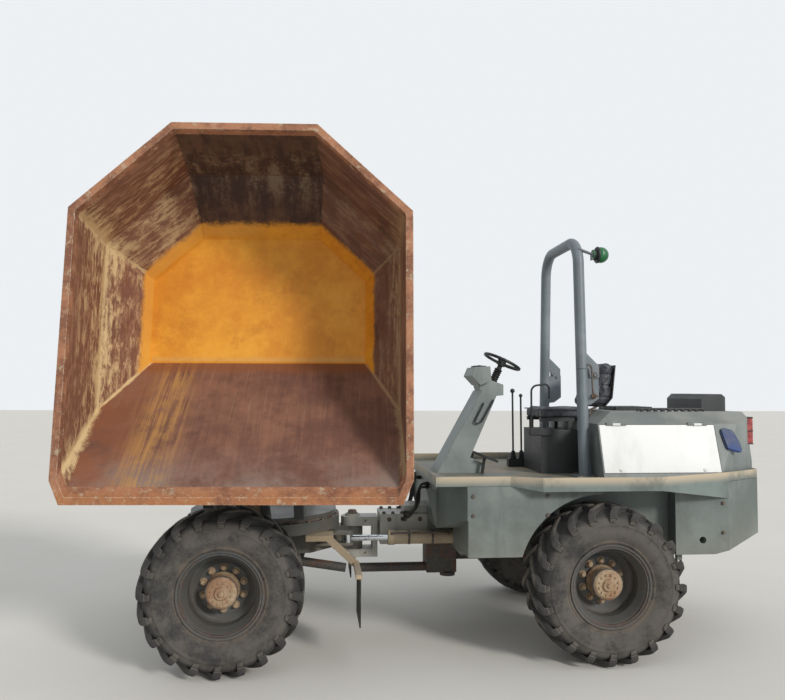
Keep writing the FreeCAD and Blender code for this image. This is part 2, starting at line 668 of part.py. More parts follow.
pin_x, pin_z = HOOP_PIN
lock_x, lock_z = HOOP_LOCK
plate_gap = 1.0
feet = []
hinge_plates = []
for side in (1, -1):
    y_low, y_split = hoop_half(DECK_Z), hoop_half(HOOP_SPLIT_Z)
    feet.append(rod((HOOP_X, side * y_low, DECK_Z - 20.0), (HOOP_X, side * y_split, HOOP_SPLIT_Z), HOOP_R))
    feet.append(side_box(HOOP_X - 60.0, HOOP_X + 75.0, y_low - 75.0, y_low + 75.0, DECK_Z + SEAT, DECK_Z + 15.0, side))
    y_mid = side * hoop_half(1400.0)
    feet.append(side_prism([(HOOP_X, DECK_Z + SEAT), (COVER_FRONT_X + 6.0, DECK_Z + SEAT), (HOOP_X - 30.0, 1560.0),
                            (HOOP_X, 1560.0)], y_mid - 6.0, y_mid + 6.0))
    inner_y = y_split - 10.0 - HOOP_PLATE
    y0, y1 = sorted((side * inner_y, side * (inner_y + HOOP_PLATE)))
    ear = side_prism([(HOOP_X, 1740.0), (lock_x + 20.0, 1750.0), (pin_x - 36.0, lock_z - 20.0), (pin_x - 36.0, pin_z),
                      (pin_x + 36.0, pin_z), (HOOP_X, HOOP_SPLIT_Z - 30.0)], y0, y1)
    feet.append(ear.fuse(rod((pin_x, y0, pin_z), (pin_x, y1, pin_z), 36.0)))
    pin_y0, pin_y1 = sorted((side * (inner_y - 12.0), side * (inner_y + 2 * HOOP_PLATE + plate_gap + 12.0)))
    feet.append(rod((pin_x, pin_y0, pin_z), (pin_x, pin_y1, pin_z), HOOP_PIN_R))
    y0, y1 = sorted((side * (inner_y + HOOP_PLATE + plate_gap), side * (inner_y + 2 * HOOP_PLATE + plate_gap)))
    plate = side_prism([(HOOP_X, HOOP_SPLIT_Z + RUN_GAP), (HOOP_X - HOOP_R - 14.0, HOOP_SPLIT_Z + RUN_GAP),
                        (pin_x + 36.0, pin_z - 20.0), (pin_x - 36.0, pin_z - 20.0), (pin_x - 36.0, pin_z + 70.0),
                        (HOOP_X - 30.0, 2150.0), (HOOP_X, 2150.0)], y0, y1)
    hinge_plates.append(plate.cut(rod((pin_x, -1000.0, pin_z), (pin_x, 1000.0, pin_z), HOOP_PIN_R + RUN_GAP)))
below_floor = box(-2000.0, 0.0, -1000.0, 1000.0, DECK_Z - 100.0, DECK_Z + SEAT)
fold_space = box(HOOP_X - HOOP_R - 60.0, HOOP_X + 100.0, -1000.0, 1000.0, HOOP_SPLIT_Z, HOOP_SPLIT_Z + 200.0)
node("hoop_feet", fuse(feet).cut([below_floor, fold_space]))
y_split = hoop_half(HOOP_SPLIT_Z)
top_z = HOOP_TOP_Z - HOOP_R
upper = bent_rod([
    (HOOP_X, y_split, HOOP_SPLIT_Z + RUN_GAP), (HOOP_X, HOOP_TOP_HALF, top_z),
    (HOOP_X, -HOOP_TOP_HALF, top_z), (HOOP_X, -y_split, HOOP_SPLIT_Z + RUN_GAP),
], HOOP_R, HOOP_BEND)
node("roll_hoop", fuse([upper] + hinge_plates))

# beacon on its bent bracket
lamp_x, lamp_y, lamp_z = BEACON
bracket = side_prism([
    (HOOP_X, lamp_z + 38.0), (HOOP_X, lamp_z + 46.0), (HOOP_X - 14.0, lamp_z + 46.0), (lamp_x + 66.0, lamp_z + 8.0),
    (lamp_x + 66.0, lamp_z - 40.0), (lamp_x + 74.0, lamp_z - 40.0), (lamp_x + 74.0, lamp_z + 3.0),
], lamp_y - 25.0, lamp_y + 25.0)
node("beacon_bracket", bracket.cut(NODES["roll_hoop"]))
base_face, base_back, base_r = 66.0 - SEAT, 26.0, 40.0
dome_start = math.acos(base_back / BEACON_R)
dome_steps = 10
lamp_outline = [(base_face, 0.0), (base_face, base_r), (base_back, base_r)]
for k in range(dome_steps + 1):
    a = dome_start + (math.pi - dome_start) * k / dome_steps
    lamp_outline.append((BEACON_R * math.cos(a), BEACON_R * math.sin(a) if k < dome_steps else 0.0))
node("beacon", spun([(lamp_x + x, lamp_y, lamp_z + r) for x, r in lamp_outline], BEACON, (1, 0, 0)))

# engine cover: a cross section, a side profile and a plan met together, hollow, with a door on each side
cover_base_z = DECK_Z - 100.0
side_slope = (COVER_HALF - COVER_SIDE_HALF) / (COVER_SIDE_Z - DECK_Z)
base_half = COVER_HALF + side_slope * (DECK_Z - cover_base_z)
half_section = [(base_half, cover_base_z), (COVER_SIDE_HALF, COVER_SIDE_Z), (COVER_TOP_HALF, COVER_TOP_Z)]
section = half_section + [(-y, z) for y, z in reversed(half_section)]
profile = [
    (COVER_FRONT_X, cover_base_z), (COVER_FRONT_X, COVER_SIDE_Z), (COVER_FRONT_X - COVER_SLOPE, COVER_TOP_Z),
    (COVER_REAR_X + COVER_LEDGE, COVER_TOP_Z), (COVER_REAR_X + COVER_LEDGE, COVER_LEDGE_Z),
    (COVER_REAR_X + 25.0, COVER_LEDGE_Z), (COVER_REAR_X, COVER_LEDGE_Z - 131.0), (COVER_REAR_X, cover_base_z),
]
corner_slope = (TAIL_HALF - TAIL_REAR_HALF) / (TAIL_FOLD_X - TAIL_X_REAR)
cover_plan = two_sided([
    (COVER_FRONT_X + 1.0, GUARD_HALF),
    (COVER_REAR_X - 1.0 + (GUARD_HALF - COVER_REAR_HALF) / corner_slope, GUARD_HALF),
    (COVER_REAR_X - 1.0, COVER_REAR_HALF),
])


def cover_solid(inset):
    across_all = cross_prism(grown_ring(section, -inset), COVER_REAR_X - 10.0, COVER_FRONT_X + 10.0)
    along_all = side_prism(grown_ring(profile, -inset), -1000.0, 1000.0)
    plan_all = plan_prism(grown_ring(cover_plan, -inset), cover_base_z - 10.0, COVER_TOP_Z + 10.0)
    return across_all.common(along_all).common(plan_all)


below_cover = box(COVER_REAR_X - 10.0, COVER_FRONT_X + 10.0, -1000.0, 1000.0, cover_base_z - 10.0, DECK_Z + SEAT)
cover_shell = cover_solid(0.0).cut([cover_solid(SHEET), below_cover])
door_panel = cover_shell.common(box(DOOR_REAR_X, DOOR_FRONT_X, COVER_SIDE_HALF - 60.0, 900.0, DOOR_LOW_Z, DOOR_TOP_Z))
door_hole = box(DOOR_REAR_X - DOOR_GAP, DOOR_FRONT_X + DOOR_GAP, COVER_SIDE_HALF - 60.0, 900.0,
                DOOR_LOW_Z - DOOR_GAP, DOOR_TOP_Z + DOOR_GAP)
axis_y, axis_z = DOOR_AXIS
leaf_y = COVER_SIDE_HALF - 2.0
door_parts = [door_panel]
cover_parts = []
for x in (DOOR_FRONT_X - 160.0, DOOR_REAR_X + 100.0):
    door_parts.append(rod((x, axis_y, axis_z), (x + 60.0, axis_y, axis_z), DOOR_BARREL_R))
    door_parts.append(rod((x - 45.0, axis_y, axis_z), (x + 105.0, axis_y, axis_z), DOOR_PIN_R))
    door_parts.append(box(x, x + 60.0, leaf_y, axis_y, axis_z - 14.0, axis_z - 4.0))
    for x0 in (x - 45.0, x + 61.0):
        knuckle = rod((x0, axis_y, axis_z), (x0 + 44.0, axis_y, axis_z), DOOR_BARREL_R)
        leaf = cross_prism([(axis_y, axis_z + 3.0), (axis_y, axis_z + 8.0), (COVER_SIDE_HALF - 14.0, axis_z + 13.0),
                            (COVER_SIDE_HALF - 4.0, axis_z + 3.0)], x0, x0 + 44.0)
        bore = rod((x0 - 1.0, axis_y, axis_z), (x0 + 45.0, axis_y, axis_z), DOOR_PIN_R + RUN_GAP)
        cover_parts.append(knuckle.fuse(leaf).cut(bore))
door = fuse(door_parts)
cover = cover_shell.cut(both_sides(door_hole))
cover = fuse([cover] + [piece for part in cover_parts for piece in both_sides(part)])
node("engine_cover", cover)
node("door_left", door)
node("door_right", mirrored(door))
node("tail_lamp_left", box(COVER_REAR_X - 8.0, COVER_REAR_X + COVER_LEDGE - SEAT, LAMP_IN_Y, LAMP_IN_Y + LAMP_WIDE,
                           COVER_LEDGE_Z + SEAT, COVER_LEDGE_Z + LAMP_HIGH))
node("tail_lamp_right", mirrored(NODES["tail_lamp_left"]))

# louvred vent and air intake on the hood
vent = box(VENT_FRONT_X - VENT_LENGTH, VENT_FRONT_X, -VENT_HALF, VENT_HALF, COVER_TOP_Z + SEAT, COVER_TOP_Z + 30.0)
slot_pitch = 28.0
slots = []
for k in range(int((VENT_LENGTH - 40.0) / slot_pitch)):
    x = VENT_FRONT_X - VENT_LENGTH + 25.0 + slot_pitch * k
    slots.append(box(x, x + slot_pitch / 2, -VENT_HALF + 30.0, VENT_HALF - 30.0, COVER_TOP_Z + 12.0, COVER_TOP_Z + 31.0))
node("hood_vent", vent.cut(slots))
intake_top = COVER_TOP_Z + INTAKE_HIGH
intake_front_x = INTAKE_REAR_X + INTAKE_LENGTH
intake = side_prism([
    (intake_front_x, COVER_TOP_Z + SEAT), (INTAKE_REAR_X, COVER_TOP_Z + SEAT), (INTAKE_REAR_X, intake_top - 25.0),
    (INTAKE_REAR_X + 30.0, intake_top), (intake_front_x - 40.0, intake_top), (intake_front_x, intake_top - 40.0),
], -INTAKE_HALF, INTAKE_HALF)
fin_pitch = 40.0
fins = []
for k in range(int(2 * (INTAKE_HALF - 30.0) / fin_pitch)):
    y = -INTAKE_HALF + 30.0 + fin_pitch * k
    fins.append(box(INTAKE_REAR_X - 1.0, INTAKE_REAR_X + 15.0, y, y + fin_pitch / 2, COVER_TOP_Z + 25.0,
                    intake_top - 40.0))
node("air_intake", intake.cut(fins))

# tow hitch
hitch_top_z = HITCH_LOW_Z + HITCH_PLATE + HITCH_GAP
hitch = [box(TAIL_X_REAR - 20.0, TAIL_X_REAR - SEAT, -100.0, 100.0, HITCH_LOW_Z - 40.0, hitch_top_z + 60.0)]
for z0 in (HITCH_LOW_Z, hitch_top_z):
    hitch.append(box(HITCH_X, TAIL_X_REAR - SEAT, -60.0, 60.0, z0, z0 + HITCH_PLATE))
    hitch.append(Part.makeCylinder(60.0, HITCH_PLATE, V(HITCH_X, 0, z0)))
hitch_bore = rod((HITCH_X, 0, HITCH_LOW_Z - 1.0), (HITCH_X, 0, hitch_top_z + HITCH_PLATE + 1.0), HITCH_R)
node("tow_hitch", fuse(hitch).cut(hitch_bore))

# front frame: boss between the fork's plates, spine, round table and steering clevis
spine_front_x = AXLE_X + 420.0
boss_z0 = FORK_LOW_Z + FORK_LOW_PLATE + FACE_GAP
boss_z1 = FORK_TOP_Z - FORK_TOP_PLATE - FACE_GAP
frame_parts = [plan_prism(two_sided([(PIVOT_X + 130.0, 110.0), (PIVOT_X + 330.0, 340.0), (spine_front_x, 340.0)]),
                          SPINE_LOW_Z, TABLE_LOW_Z + 5.0)]
frame_parts.append(Part.makeCylinder(TABLE_R, TABLE_TOP_Z - TABLE_LOW_Z, V(TURN_X, 0, TABLE_LOW_Z)))
frame_parts.append(box(PIVOT_X + 20.0, PIVOT_X + 150.0, -75.0, 75.0, boss_z0, boss_z1))
frame_parts.append(Part.makeCylinder(FORK_R - 8.0, boss_z1 - boss_z0, V(PIVOT_X, 0, boss_z0)))
clevis_gap = 30.0 + RUN_GAP
eye_x, eye_y = STEER_EYE
for z0 in (STEER_RAM_Z + clevis_gap, STEER_RAM_Z - clevis_gap - 20.0):
    arm = plan_prism([(eye_x, eye_y + 45.0), (eye_x, eye_y - 45.0), (PIVOT_X + 300.0, 150.0), (PIVOT_X + 300.0, eye_y + 45.0)],
                     z0, z0 + 20.0)
    frame_parts.append(arm.fuse(Part.makeCylinder(45.0, 20.0, V(eye_x, eye_y, z0))))
kingpin_bore = rod((PIVOT_X, 0, FORK_LOW_Z), (PIVOT_X, 0, FORK_TOP_Z + 50.0), KINGPIN_R + RUN_GAP)
node("front_chassis", fuse(frame_parts).cut(kingpin_bore))
node("front_axle", axle_shape(AXLE_X, -AXLE_NOSE, SPINE_LOW_Z))
nose_x = AXLE_X - AXLE_NOSE
front_shaft = rod((PIVOT_X + 50.0, 0, SHAFT_LOW_Z), (nose_x - 60.0, 0, AXLE_Z), SHAFT_R)
node("front_shaft", front_shaft.fuse(rod((nose_x - 80.0, 0, AXLE_Z), (nose_x - SEAT, 0, AXLE_Z), SHAFT_R + 15.0)))
node("slew_ring", tube((TURN_X, 0, TABLE_TOP_Z + SEAT), (TURN_X, 0, RING_TOP_Z), RING_R, RING_R - 100.0))
flap_parts = [
    side_prism([(592.0, TABLE_LOW_Z + 5.0), (640.0, TABLE_LOW_Z - 15.0), (420.0, 580.0), (372.0, 600.0)], 480.0, 530.0),
    box(560.0, 760.0, 330.0, 530.0, TABLE_LOW_Z - 40.0, TABLE_LOW_Z - SEAT),
    box(372.0, 415.0, 480.0, 900.0, 575.0, 605.0),
]
flap_arm = fuse(flap_parts).cut(NODES["front_chassis"])
flap = box(380.0, 390.0, 495.0, 900.0, 251.0, 575.0 - SEAT)
for side_name, arm, sheet in (("left", flap_arm, flap), ("right", mirrored(flap_arm), mirrored(flap))):
    node(f"flap_arm_{side_name}", arm)
    node(f"mud_flap_{side_name}", sheet)


# rams: the base eye turns on a pin, the rod with its piston slides in the barrel
def ram(base, eye, barrel_len, rod_len, r_barrel, r_rod, eye_r, base_half, eye_half, pin_axis):
    along = (eye - base).normalize()
    end = base + along * barrel_len
    gland_len = 50.0
    neck = rod(base + along * (eye_r * 0.6), base + along * (eye_r + 30.0), min(base_half, r_barrel) * 0.95)
    outer = rod(base + along * (eye_r + 15.0), end, r_barrel)
    lug = rod(base - pin_axis * base_half, base + pin_axis * base_half, eye_r)
    hollow = rod(base + along * (eye_r + 30.0), end - along * (gland_len - 10.0), r_barrel * 0.78)
    throat = rod(end - along * gland_len, end + along, r_rod + RUN_GAP)
    gland = rod(end - along * gland_len, end, r_barrel * 1.12)
    barrel = fuse([outer, neck, lug, gland]).cut([hollow, throat])
    start = eye - along * rod_len
    bar = rod(start, eye - along * (eye_r * 0.6), r_rod)
    piston = rod(start, start + along * 30.0, r_barrel * 0.74)
    eye_lug = rod(eye - pin_axis * eye_half, eye + pin_axis * eye_half, eye_r)
    return barrel, fuse([bar, piston, eye_lug])


base = V(STEER_BASE[0], STEER_BASE[1], STEER_RAM_Z)
eye = V(eye_x, eye_y, STEER_RAM_Z)
steer_barrel, steer_rod = ram(base, eye, STEER_BARREL, STEER_ROD, 50.0, 22.0, 42.0, 30.0, 30.0, V(0, 0, 1))
pin_bore = rod((base.x, base.y, base.z - 100.0), (base.x, base.y, base.z + 100.0), STEER_PIN_R + RUN_GAP)
node("steer_barrel", steer_barrel.cut(pin_bore))
node("steer_rod", steer_rod)


# swivel frame and skip, drawn facing forward and then turned to their stored place
def placed(shape):
    turned = shape.copy()
    turned.rotate(V(0, 0, 0), V(0, 0, 1), SKIP_REST_TURN_DEG)
    turned.translate(V(TURN_X, 0, 0))
    return turned


tip = math.radians(TIPPED_DEG)
tip_travel = math.radians(TIPPED_DEG - LOWERED_DEG)


def skip_point(v, w, d):
    x = LIP_TIPPED[0] - math.cos(tip) * v - math.sin(tip) * d
    z = LIP_TIPPED[1] + math.sin(tip) * v - math.cos(tip) * d
    return (x, w, z)


def lowered_point(v, w, d):
    x, y, z = skip_point(v, w, d)
    dx, dz = x - TIP_PIN[0], z - TIP_PIN[1]
    c, s = math.cos(tip_travel), math.sin(tip_travel)
    return (TIP_PIN[0] + c * dx - s * dz, y, TIP_PIN[1] + s * dx + c * dz)


pin_px, pin_pz = TIP_PIN
beam_top = SWIVEL_PLATE_Z + 110.0
beam_rear_x = -560.0
beam_profile = [
    (beam_rear_x, SWIVEL_PLATE_Z - 6.0), (540.0, SWIVEL_PLATE_Z - 6.0), (620.0, 1100.0), (pin_px + 70.0, 1115.0),
    (pin_px + 70.0, pin_pz - 20.0), (pin_px - 62.0, pin_pz - 15.0), (580.0, 1200.0), (430.0, beam_top), (beam_rear_x, beam_top),
]
cross_half = BEAM_Y - BEAM_W / 2 + 10.0
swivel_parts = [Part.makeCylinder(RING_R + 10.0, SWIVEL_PLATE_Z - RING_TOP_Z - RUN_GAP, V(0, 0, RING_TOP_Z + RUN_GAP))]
swivel_parts.append(box(pin_px - 100.0, pin_px - 40.0, -cross_half, cross_half, 1120.0, 1180.0))
swivel_parts.append(box(beam_rear_x, beam_rear_x + 60.0, -cross_half, cross_half, SWIVEL_PLATE_Z - 6.0, beam_top))
swivel_parts.append(rod((RAM_BASE[0], -120.0, RAM_BASE[1]), (RAM_BASE[0], 120.0, RAM_BASE[1]), RAM_PIN_R))
rest_x = -500.0
floor_low = lowered_point(FLOOR_FRONT, 0, FLOOR_DEPTH + SHEET)
floor_high = lowered_point(FLOOR_SHOULDER, 0, FLOOR_DEPTH + SHEET)
floor_slope = (floor_high[2] - floor_low[2]) / (floor_high[0] - floor_low[0])
rest_top = floor_low[2] + floor_slope * (rest_x + 40.0 - floor_low[0]) - 3.0
for side in (1, -1):
    beam_y0, beam_y1 = sorted((side * (BEAM_Y - BEAM_W / 2), side * (BEAM_Y + BEAM_W / 2)))
    swivel_parts.append(side_prism(beam_profile, beam_y0, beam_y1))
    swivel_parts.append(rod((pin_px, beam_y0, pin_pz), (pin_px, beam_y1, pin_pz), 66.0))
    swivel_parts.append(box(rest_x - 40.0, rest_x + 40.0, beam_y0, beam_y1, beam_top - 5.0, rest_top))
    swivel_parts.append(side_prism([
        (450.0, SWIVEL_PLATE_Z - 6.0), (572.0, SWIVEL_PLATE_Z - 6.0), (RAM_BASE[0] + 48.0, RAM_BASE[1] - 10.0),
        (RAM_BASE[0] + 40.0, RAM_BASE[1] + 40.0), (RAM_BASE[0] - 40.0, RAM_BASE[1] + 40.0),
    ], side * 87.0 - 26.0, side * 87.0 + 26.0))
    swivel_parts.append(rod((pin_px, side * (BEAM_Y - 85.0), pin_pz), (pin_px, side * (BEAM_Y + 85.0), pin_pz), TIP_PIN_R))
node("swivel_frame", placed(fuse(swivel_parts)))


def skip_levels():
    """Corners of the skip's left half, inside, at the rim, at the ring of folds and at the floor."""
    outer = [(0, RIM_LIP_HALF), (RIM_LIP_RISE, RIM_HALF), (RIM_SHOULDER, RIM_HALF), (RIM_REAR, RIM_REAR_HALF)]
    rim = [(v, w, 0) for v, w in grown_ring(two_sided(outer), -RIM_BAR)[:4]]
    slope = (RIM_REAR_HALF - RIM_HALF) / (RIM_REAR - RIM_SHOULDER)
    ring_front = RIM_BAR + RING_DEPTH / FLOOR_DEPTH * (FLOOR_FRONT - RIM_BAR)
    ring_rear = RING_SHOULDER + (RING_REAR_HALF - RING_HALF) / slope
    floor_rear = FLOOR_SHOULDER + (FLOOR_REAR_HALF - FLOOR_HALF) / slope
    ring = [(ring_front, RING_HALF, RING_DEPTH), (RING_SHOULDER, RING_HALF, RING_DEPTH),
            (ring_rear, RING_REAR_HALF, RING_DEPTH)]
    floor = [(FLOOR_FRONT, FLOOR_HALF, FLOOR_DEPTH), (FLOOR_SHOULDER, FLOOR_HALF, FLOOR_DEPTH),
             (floor_rear, FLOOR_REAR_HALF, FLOOR_DEPTH)]
    return outer, rim, ring, floor


def skip_faces():
    """The skip's inner faces and, last, its open top."""
    (a0, b0, c0, d0), (a1, c1, d1), (a2, c2, d2) = skip_levels()[1:]

    def m(p):
        return (p[0], -p[1], p[2])

    half = [(a0, b0, a1), (b0, c0, c1, a1), (c0, d0, d1, c1), (a1, c1, c2, a2), (c1, d1, d2, c2)]
    faces = [list(f) for f in half] + [[m(p) for p in reversed(f)] for f in half]
    faces.append([a0, a1, a2, m(a2), m(a1), m(a0)])
    faces.append([d0, m(d0), m(d1), d1])
    faces.append([d1, m(d1), m(d2), d2])
    faces.append([a2, c2, d2, m(d2), m(c2), m(a2)])
    faces.append([a0, b0, c0, d0, m(d0), m(c0), m(b0), m(a0)])
    return [[skip_point(*p) for p in f] for f in faces]


def grown_faces(faces, grow):
    """Every face but the last moved outward, its corners kept where the moved faces meet."""
    corners = {tuple(round(q, 3) for q in p): V(*p) for f in faces for p in f}
    centre = V(0, 0, 0)
    for p in corners.values():
        centre += p * (1.0 / len(corners))
    pulls = {key: [] for key in corners}
    for k, f in enumerate(faces):
        p, q, r = V(*f[0]), V(*f[1]), V(*f[2])
        normal = (q - p).cross(r - p).normalize()
        if normal.dot(p - centre) < 0:
            normal = normal * -1
        step = 0.0 if k == len(faces) - 1 else grow
        for point in f:
            pulls[tuple(round(q, 3) for q in point)].append((normal, step))
    moved = {}
    for key, planes in pulls.items():
        rows = FreeCAD.Matrix()
        a = [[sum(n[i] * n[j] for n, step in planes) for j in range(3)] for i in range(3)]
        rows.A11, rows.A12, rows.A13 = a[0]
        rows.A21, rows.A22, rows.A23 = a[1]
        rows.A31, rows.A32, rows.A33 = a[2]
        pull = V(0, 0, 0)
        for n, step in planes:
            pull += n * step
        moved[key] = corners[key] + rows.inverse().multVec(pull)
    out = []
    for f in faces:
        points = [moved[tuple(round(q, 3) for q in p)] for p in f]
        for j in range(1, len(points) - 1):
            out.append([tuple(points[0]), tuple(points[j]), tuple(points[j + 1])])
    return out


inner_faces = skip_faces()
shell = faceted(grown_faces(inner_faces, SHEET)).cut(faceted(inner_faces))
rim_outer, rim_inner, ring, floor = skip_levels()
down = V(*skip_point(0, 0, 1)) - V(*skip_point(0, 0, 0))
bar_out = prism([skip_point(v, w, 0) for v, w in two_sided(rim_outer)], tuple(down * RIM_BAR_DEPTH))
inner_plan = two_sided([(v, w) for v, w, d in rim_inner])
bar_in = prism([skip_point(v, w, -10.0) for v, w in inner_plan], tuple(down * (RIM_BAR_DEPTH + 20.0)))
node("skip", placed(shell.fuse(bar_out.cut(bar_in)).cut(faceted(inner_faces))))


# what is under the skip: hinge ears beside the posts, ram bracket and floor channels
def under_chute(v, gap):
    depth = (v - RIM_BAR) * FLOOR_DEPTH / (FLOOR_FRONT - RIM_BAR)
    return skip_point(v, 0, depth + gap)


sheet_below = SHEET * math.hypot(FLOOR_DEPTH, FLOOR_FRONT - RIM_BAR) / (FLOOR_FRONT - RIM_BAR) + FACE_GAP
pin_bore = rod((pin_px, -1000.0, pin_pz), (pin_px, 1000.0, pin_pz), TIP_PIN_R + RUN_GAP)
ear_gap = BEAM_W / 2 + FACE_GAP
ear_plate = 18.0
ears = []
for side in (1, -1):
    for w in (BEAM_Y - ear_gap - ear_plate, BEAM_Y + ear_gap):
        y0, y1 = sorted((side * w, side * (w + ear_plate)))
        lower = [under_chute(225.0, sheet_below), under_chute(700.0, sheet_below)]
        wide = side_prism([(p[0], p[2]) for p in lower] + [(pin_px - 40.0, pin_pz - 38.0), (pin_px + 20.0, pin_pz - 52.0)],
                          y0, y1)
        round_end = rod((pin_px, y0, pin_pz), (pin_px, y1, pin_pz), 56.0)
        ears.append(wide.fuse(round_end).cut(pin_bore))
node("skip_ears", placed(Part.makeCompound(ears)))

eye_v, eye_d = RAM_EYE_VD
floor_below = FLOOR_DEPTH + SHEET + FACE_GAP
ram_half = 40.0
brackets = []
for side in (1, -1):
    y0, y1 = sorted((side * (ram_half + 0.5), side * (ram_half + 20.5)))
    outline = [skip_point(eye_v + v, 0, d) for v, d in
               ((-160.0, floor_below), (160.0, floor_below), (48.0, eye_d + 10.0), (-48.0, eye_d + 10.0))]
    end_a = skip_point(eye_v, 0, eye_d)
    plate = side_prism([(p[0], p[2]) for p in outline], y0, y1)
    brackets.append(plate.fuse(rod((end_a[0], y0, end_a[2]), (end_a[0], y1, end_a[2]), 50.0)))
node("ram_bracket", placed(Part.makeCompound(brackets)))
ribs = []
for side in (1, -1):
    outline = [skip_point(v, 0, d) for v, d in
               ((FLOOR_FRONT + 5.0, floor_below), (FLOOR_SHOULDER + 250.0, floor_below),
                (FLOOR_SHOULDER + 250.0, floor_below + 36.0), (FLOOR_FRONT + 25.0, floor_below + 36.0))]
    y0, y1 = sorted((side * 440.0, side * 500.0))
    ribs.append(side_prism([(p[0], p[2]) for p in outline], y0, y1))
node("skip_ribs", placed(Part.makeCompound(ribs)))

ram_eye = skip_point(eye_v, 0, eye_d)
base = V(RAM_BASE[0], 0, RAM_BASE[1])
eye = V(ram_eye[0], 0, ram_eye[2])
tip_barrel, tip_rod = ram(base, eye, TIP_BARREL, TIP_ROD, 55.0, 32.0, 48.0, 60.0, ram_half, V(0, 1, 0))
ram_bore = rod((base.x, -100.0, base.z), (base.x, 100.0, base.z), RAM_PIN_R + RUN_GAP)
node("tip_barrel", placed(tip_barrel.cut(ram_bore)))
node("tip_rod", placed(tip_rod))

# the stored part's origin is the centre of its footprint on the ground
whole = Part.makeCompound(list(NODES.values())).BoundBox
SHIFT = V(-(whole.XMin + whole.XMax) / 2, -(whole.YMin + whole.YMax) / 2, -whole.ZMin)
for name, shape in NODES.items():
    moved = shape.copy()
    moved.translate(SHIFT)
    moved.exportStep(f"parts/{name}.step")
    NODES[name] = moved
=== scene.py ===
import math
import random
from functools import partial, reduce

import bmesh
import bpy
from mathutils import Matrix, Vector, noise

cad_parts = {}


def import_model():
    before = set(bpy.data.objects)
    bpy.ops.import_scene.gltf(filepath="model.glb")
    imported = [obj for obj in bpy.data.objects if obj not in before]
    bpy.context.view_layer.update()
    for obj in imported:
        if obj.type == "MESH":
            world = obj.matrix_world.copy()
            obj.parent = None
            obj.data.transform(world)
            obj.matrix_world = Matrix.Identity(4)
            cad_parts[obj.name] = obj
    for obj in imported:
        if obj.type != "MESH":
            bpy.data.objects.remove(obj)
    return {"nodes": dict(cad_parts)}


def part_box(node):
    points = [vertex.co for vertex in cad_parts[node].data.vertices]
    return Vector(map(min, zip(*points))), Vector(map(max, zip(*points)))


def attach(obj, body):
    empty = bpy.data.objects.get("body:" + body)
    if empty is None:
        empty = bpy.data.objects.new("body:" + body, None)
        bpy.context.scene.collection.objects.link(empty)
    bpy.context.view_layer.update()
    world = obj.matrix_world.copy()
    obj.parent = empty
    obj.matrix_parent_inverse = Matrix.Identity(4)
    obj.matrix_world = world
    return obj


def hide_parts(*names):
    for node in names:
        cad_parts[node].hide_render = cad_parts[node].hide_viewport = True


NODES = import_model()["nodes"]
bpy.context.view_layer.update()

# Sizes of the machine in millimetres, in its drawing frame:
# origin on the ground halfway between the axles, X forward, Y to the machine's left, Z up
AXLE_X = 1294.0
TYRE_R = 537.5
WHEEL_Y = 925.0
TREAD_SEGMENTS = 120
LUG_HEIGHT = 34.0
LUG_PAIRS = 20
LUG_SWEEP_DEG = 17.0
STUD_CIRCLE_R = 137.5
STUD_COUNT = 10
STUD_Y = -32.5
CAP_BOLT_CIRCLE_R = 68.0
CAP_BOLT_COUNT = 12
HUB_FACE_Y = 117.5
HULL_Y = 950.2
TAIL_Y = 781.0
GEARBOX_Y = 160.2
DECK_Z = 1205.0
COVER_FOOT_Y = 749.0
COVER_TOP_Y = 620.0
COVER_TOP_Z = 1608.0
TURN_X = 1090.0
TURN_BOLT_CIRCLE_R = 570.0
TURN_BOLT_COUNT = 24
TURN_DEG = 86.0
TIPPED_DEG = 83.75
COLUMN_TILT_DEG = 25.4

# Skip: the lip's x and z with the skip facing forward; corners of its left half inside, each as
# the distance along the rim from the lip, across from the middle and down from the rim
LIP = (1454.5, 1163.7)
RIM_OUTER = ((144.5, 1092), (1849.5, 1092), (2430.5, 472))
RIM_INNER = ((45, 998, 0), (154, 1047, 0), (1830, 1047, 0), (2385.5, 454, 0))
RING = ((605, 1033, 560), (1779, 1033, 560), (2299, 478, 560))
FLOOR = ((1005, 787, 960), (1620, 787, 960), (1948, 437, 960))

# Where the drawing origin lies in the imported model
ORIGIN = Vector((0, 0, 0))
for wheel in ("front_left", "front_right", "rear_left", "rear_right"):
    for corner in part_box("rim_" + wheel):
        ORIGIN += corner / 8
ORIGIN.z -= TYRE_R / 1000

# Camera: place in metres, aim in degrees and focal length in pixels of the photograph's width
CAMERA_PLACE = Vector((0.6963, 6.1416, 1.8605))
CAMERA_YAW_DEG = 5.687
CAMERA_UP_DEG = 2.921
CAMERA_ROLL_DEG = 0.242
FOCAL_PX = 765.8
PHOTO_W = 785
SENSOR_MM = 36.0

# Light: the sun's strength, width and direction, and the sky as light and as it is seen
SUN_ENERGY = 2.05
SUN_WIDTH_DEG = 12
SUN_COLOUR = (1.0, 0.97, 0.92)
SUN_TOWARD = (-0.538, 0.732, 0.419)
SKY_COLOUR = (0.94, 0.97, 1.0, 1)
SKY_LIGHT = 0.68
SKY_SEEN = 0.9
FLOOR_HALF = 60


def at(x, y, z):
    """A point of the drawing frame in millimetres, as a place in the model."""
    return ORIGIN + Vector((x, y, z)) / 1000


def mm(value):
    return value / 1000


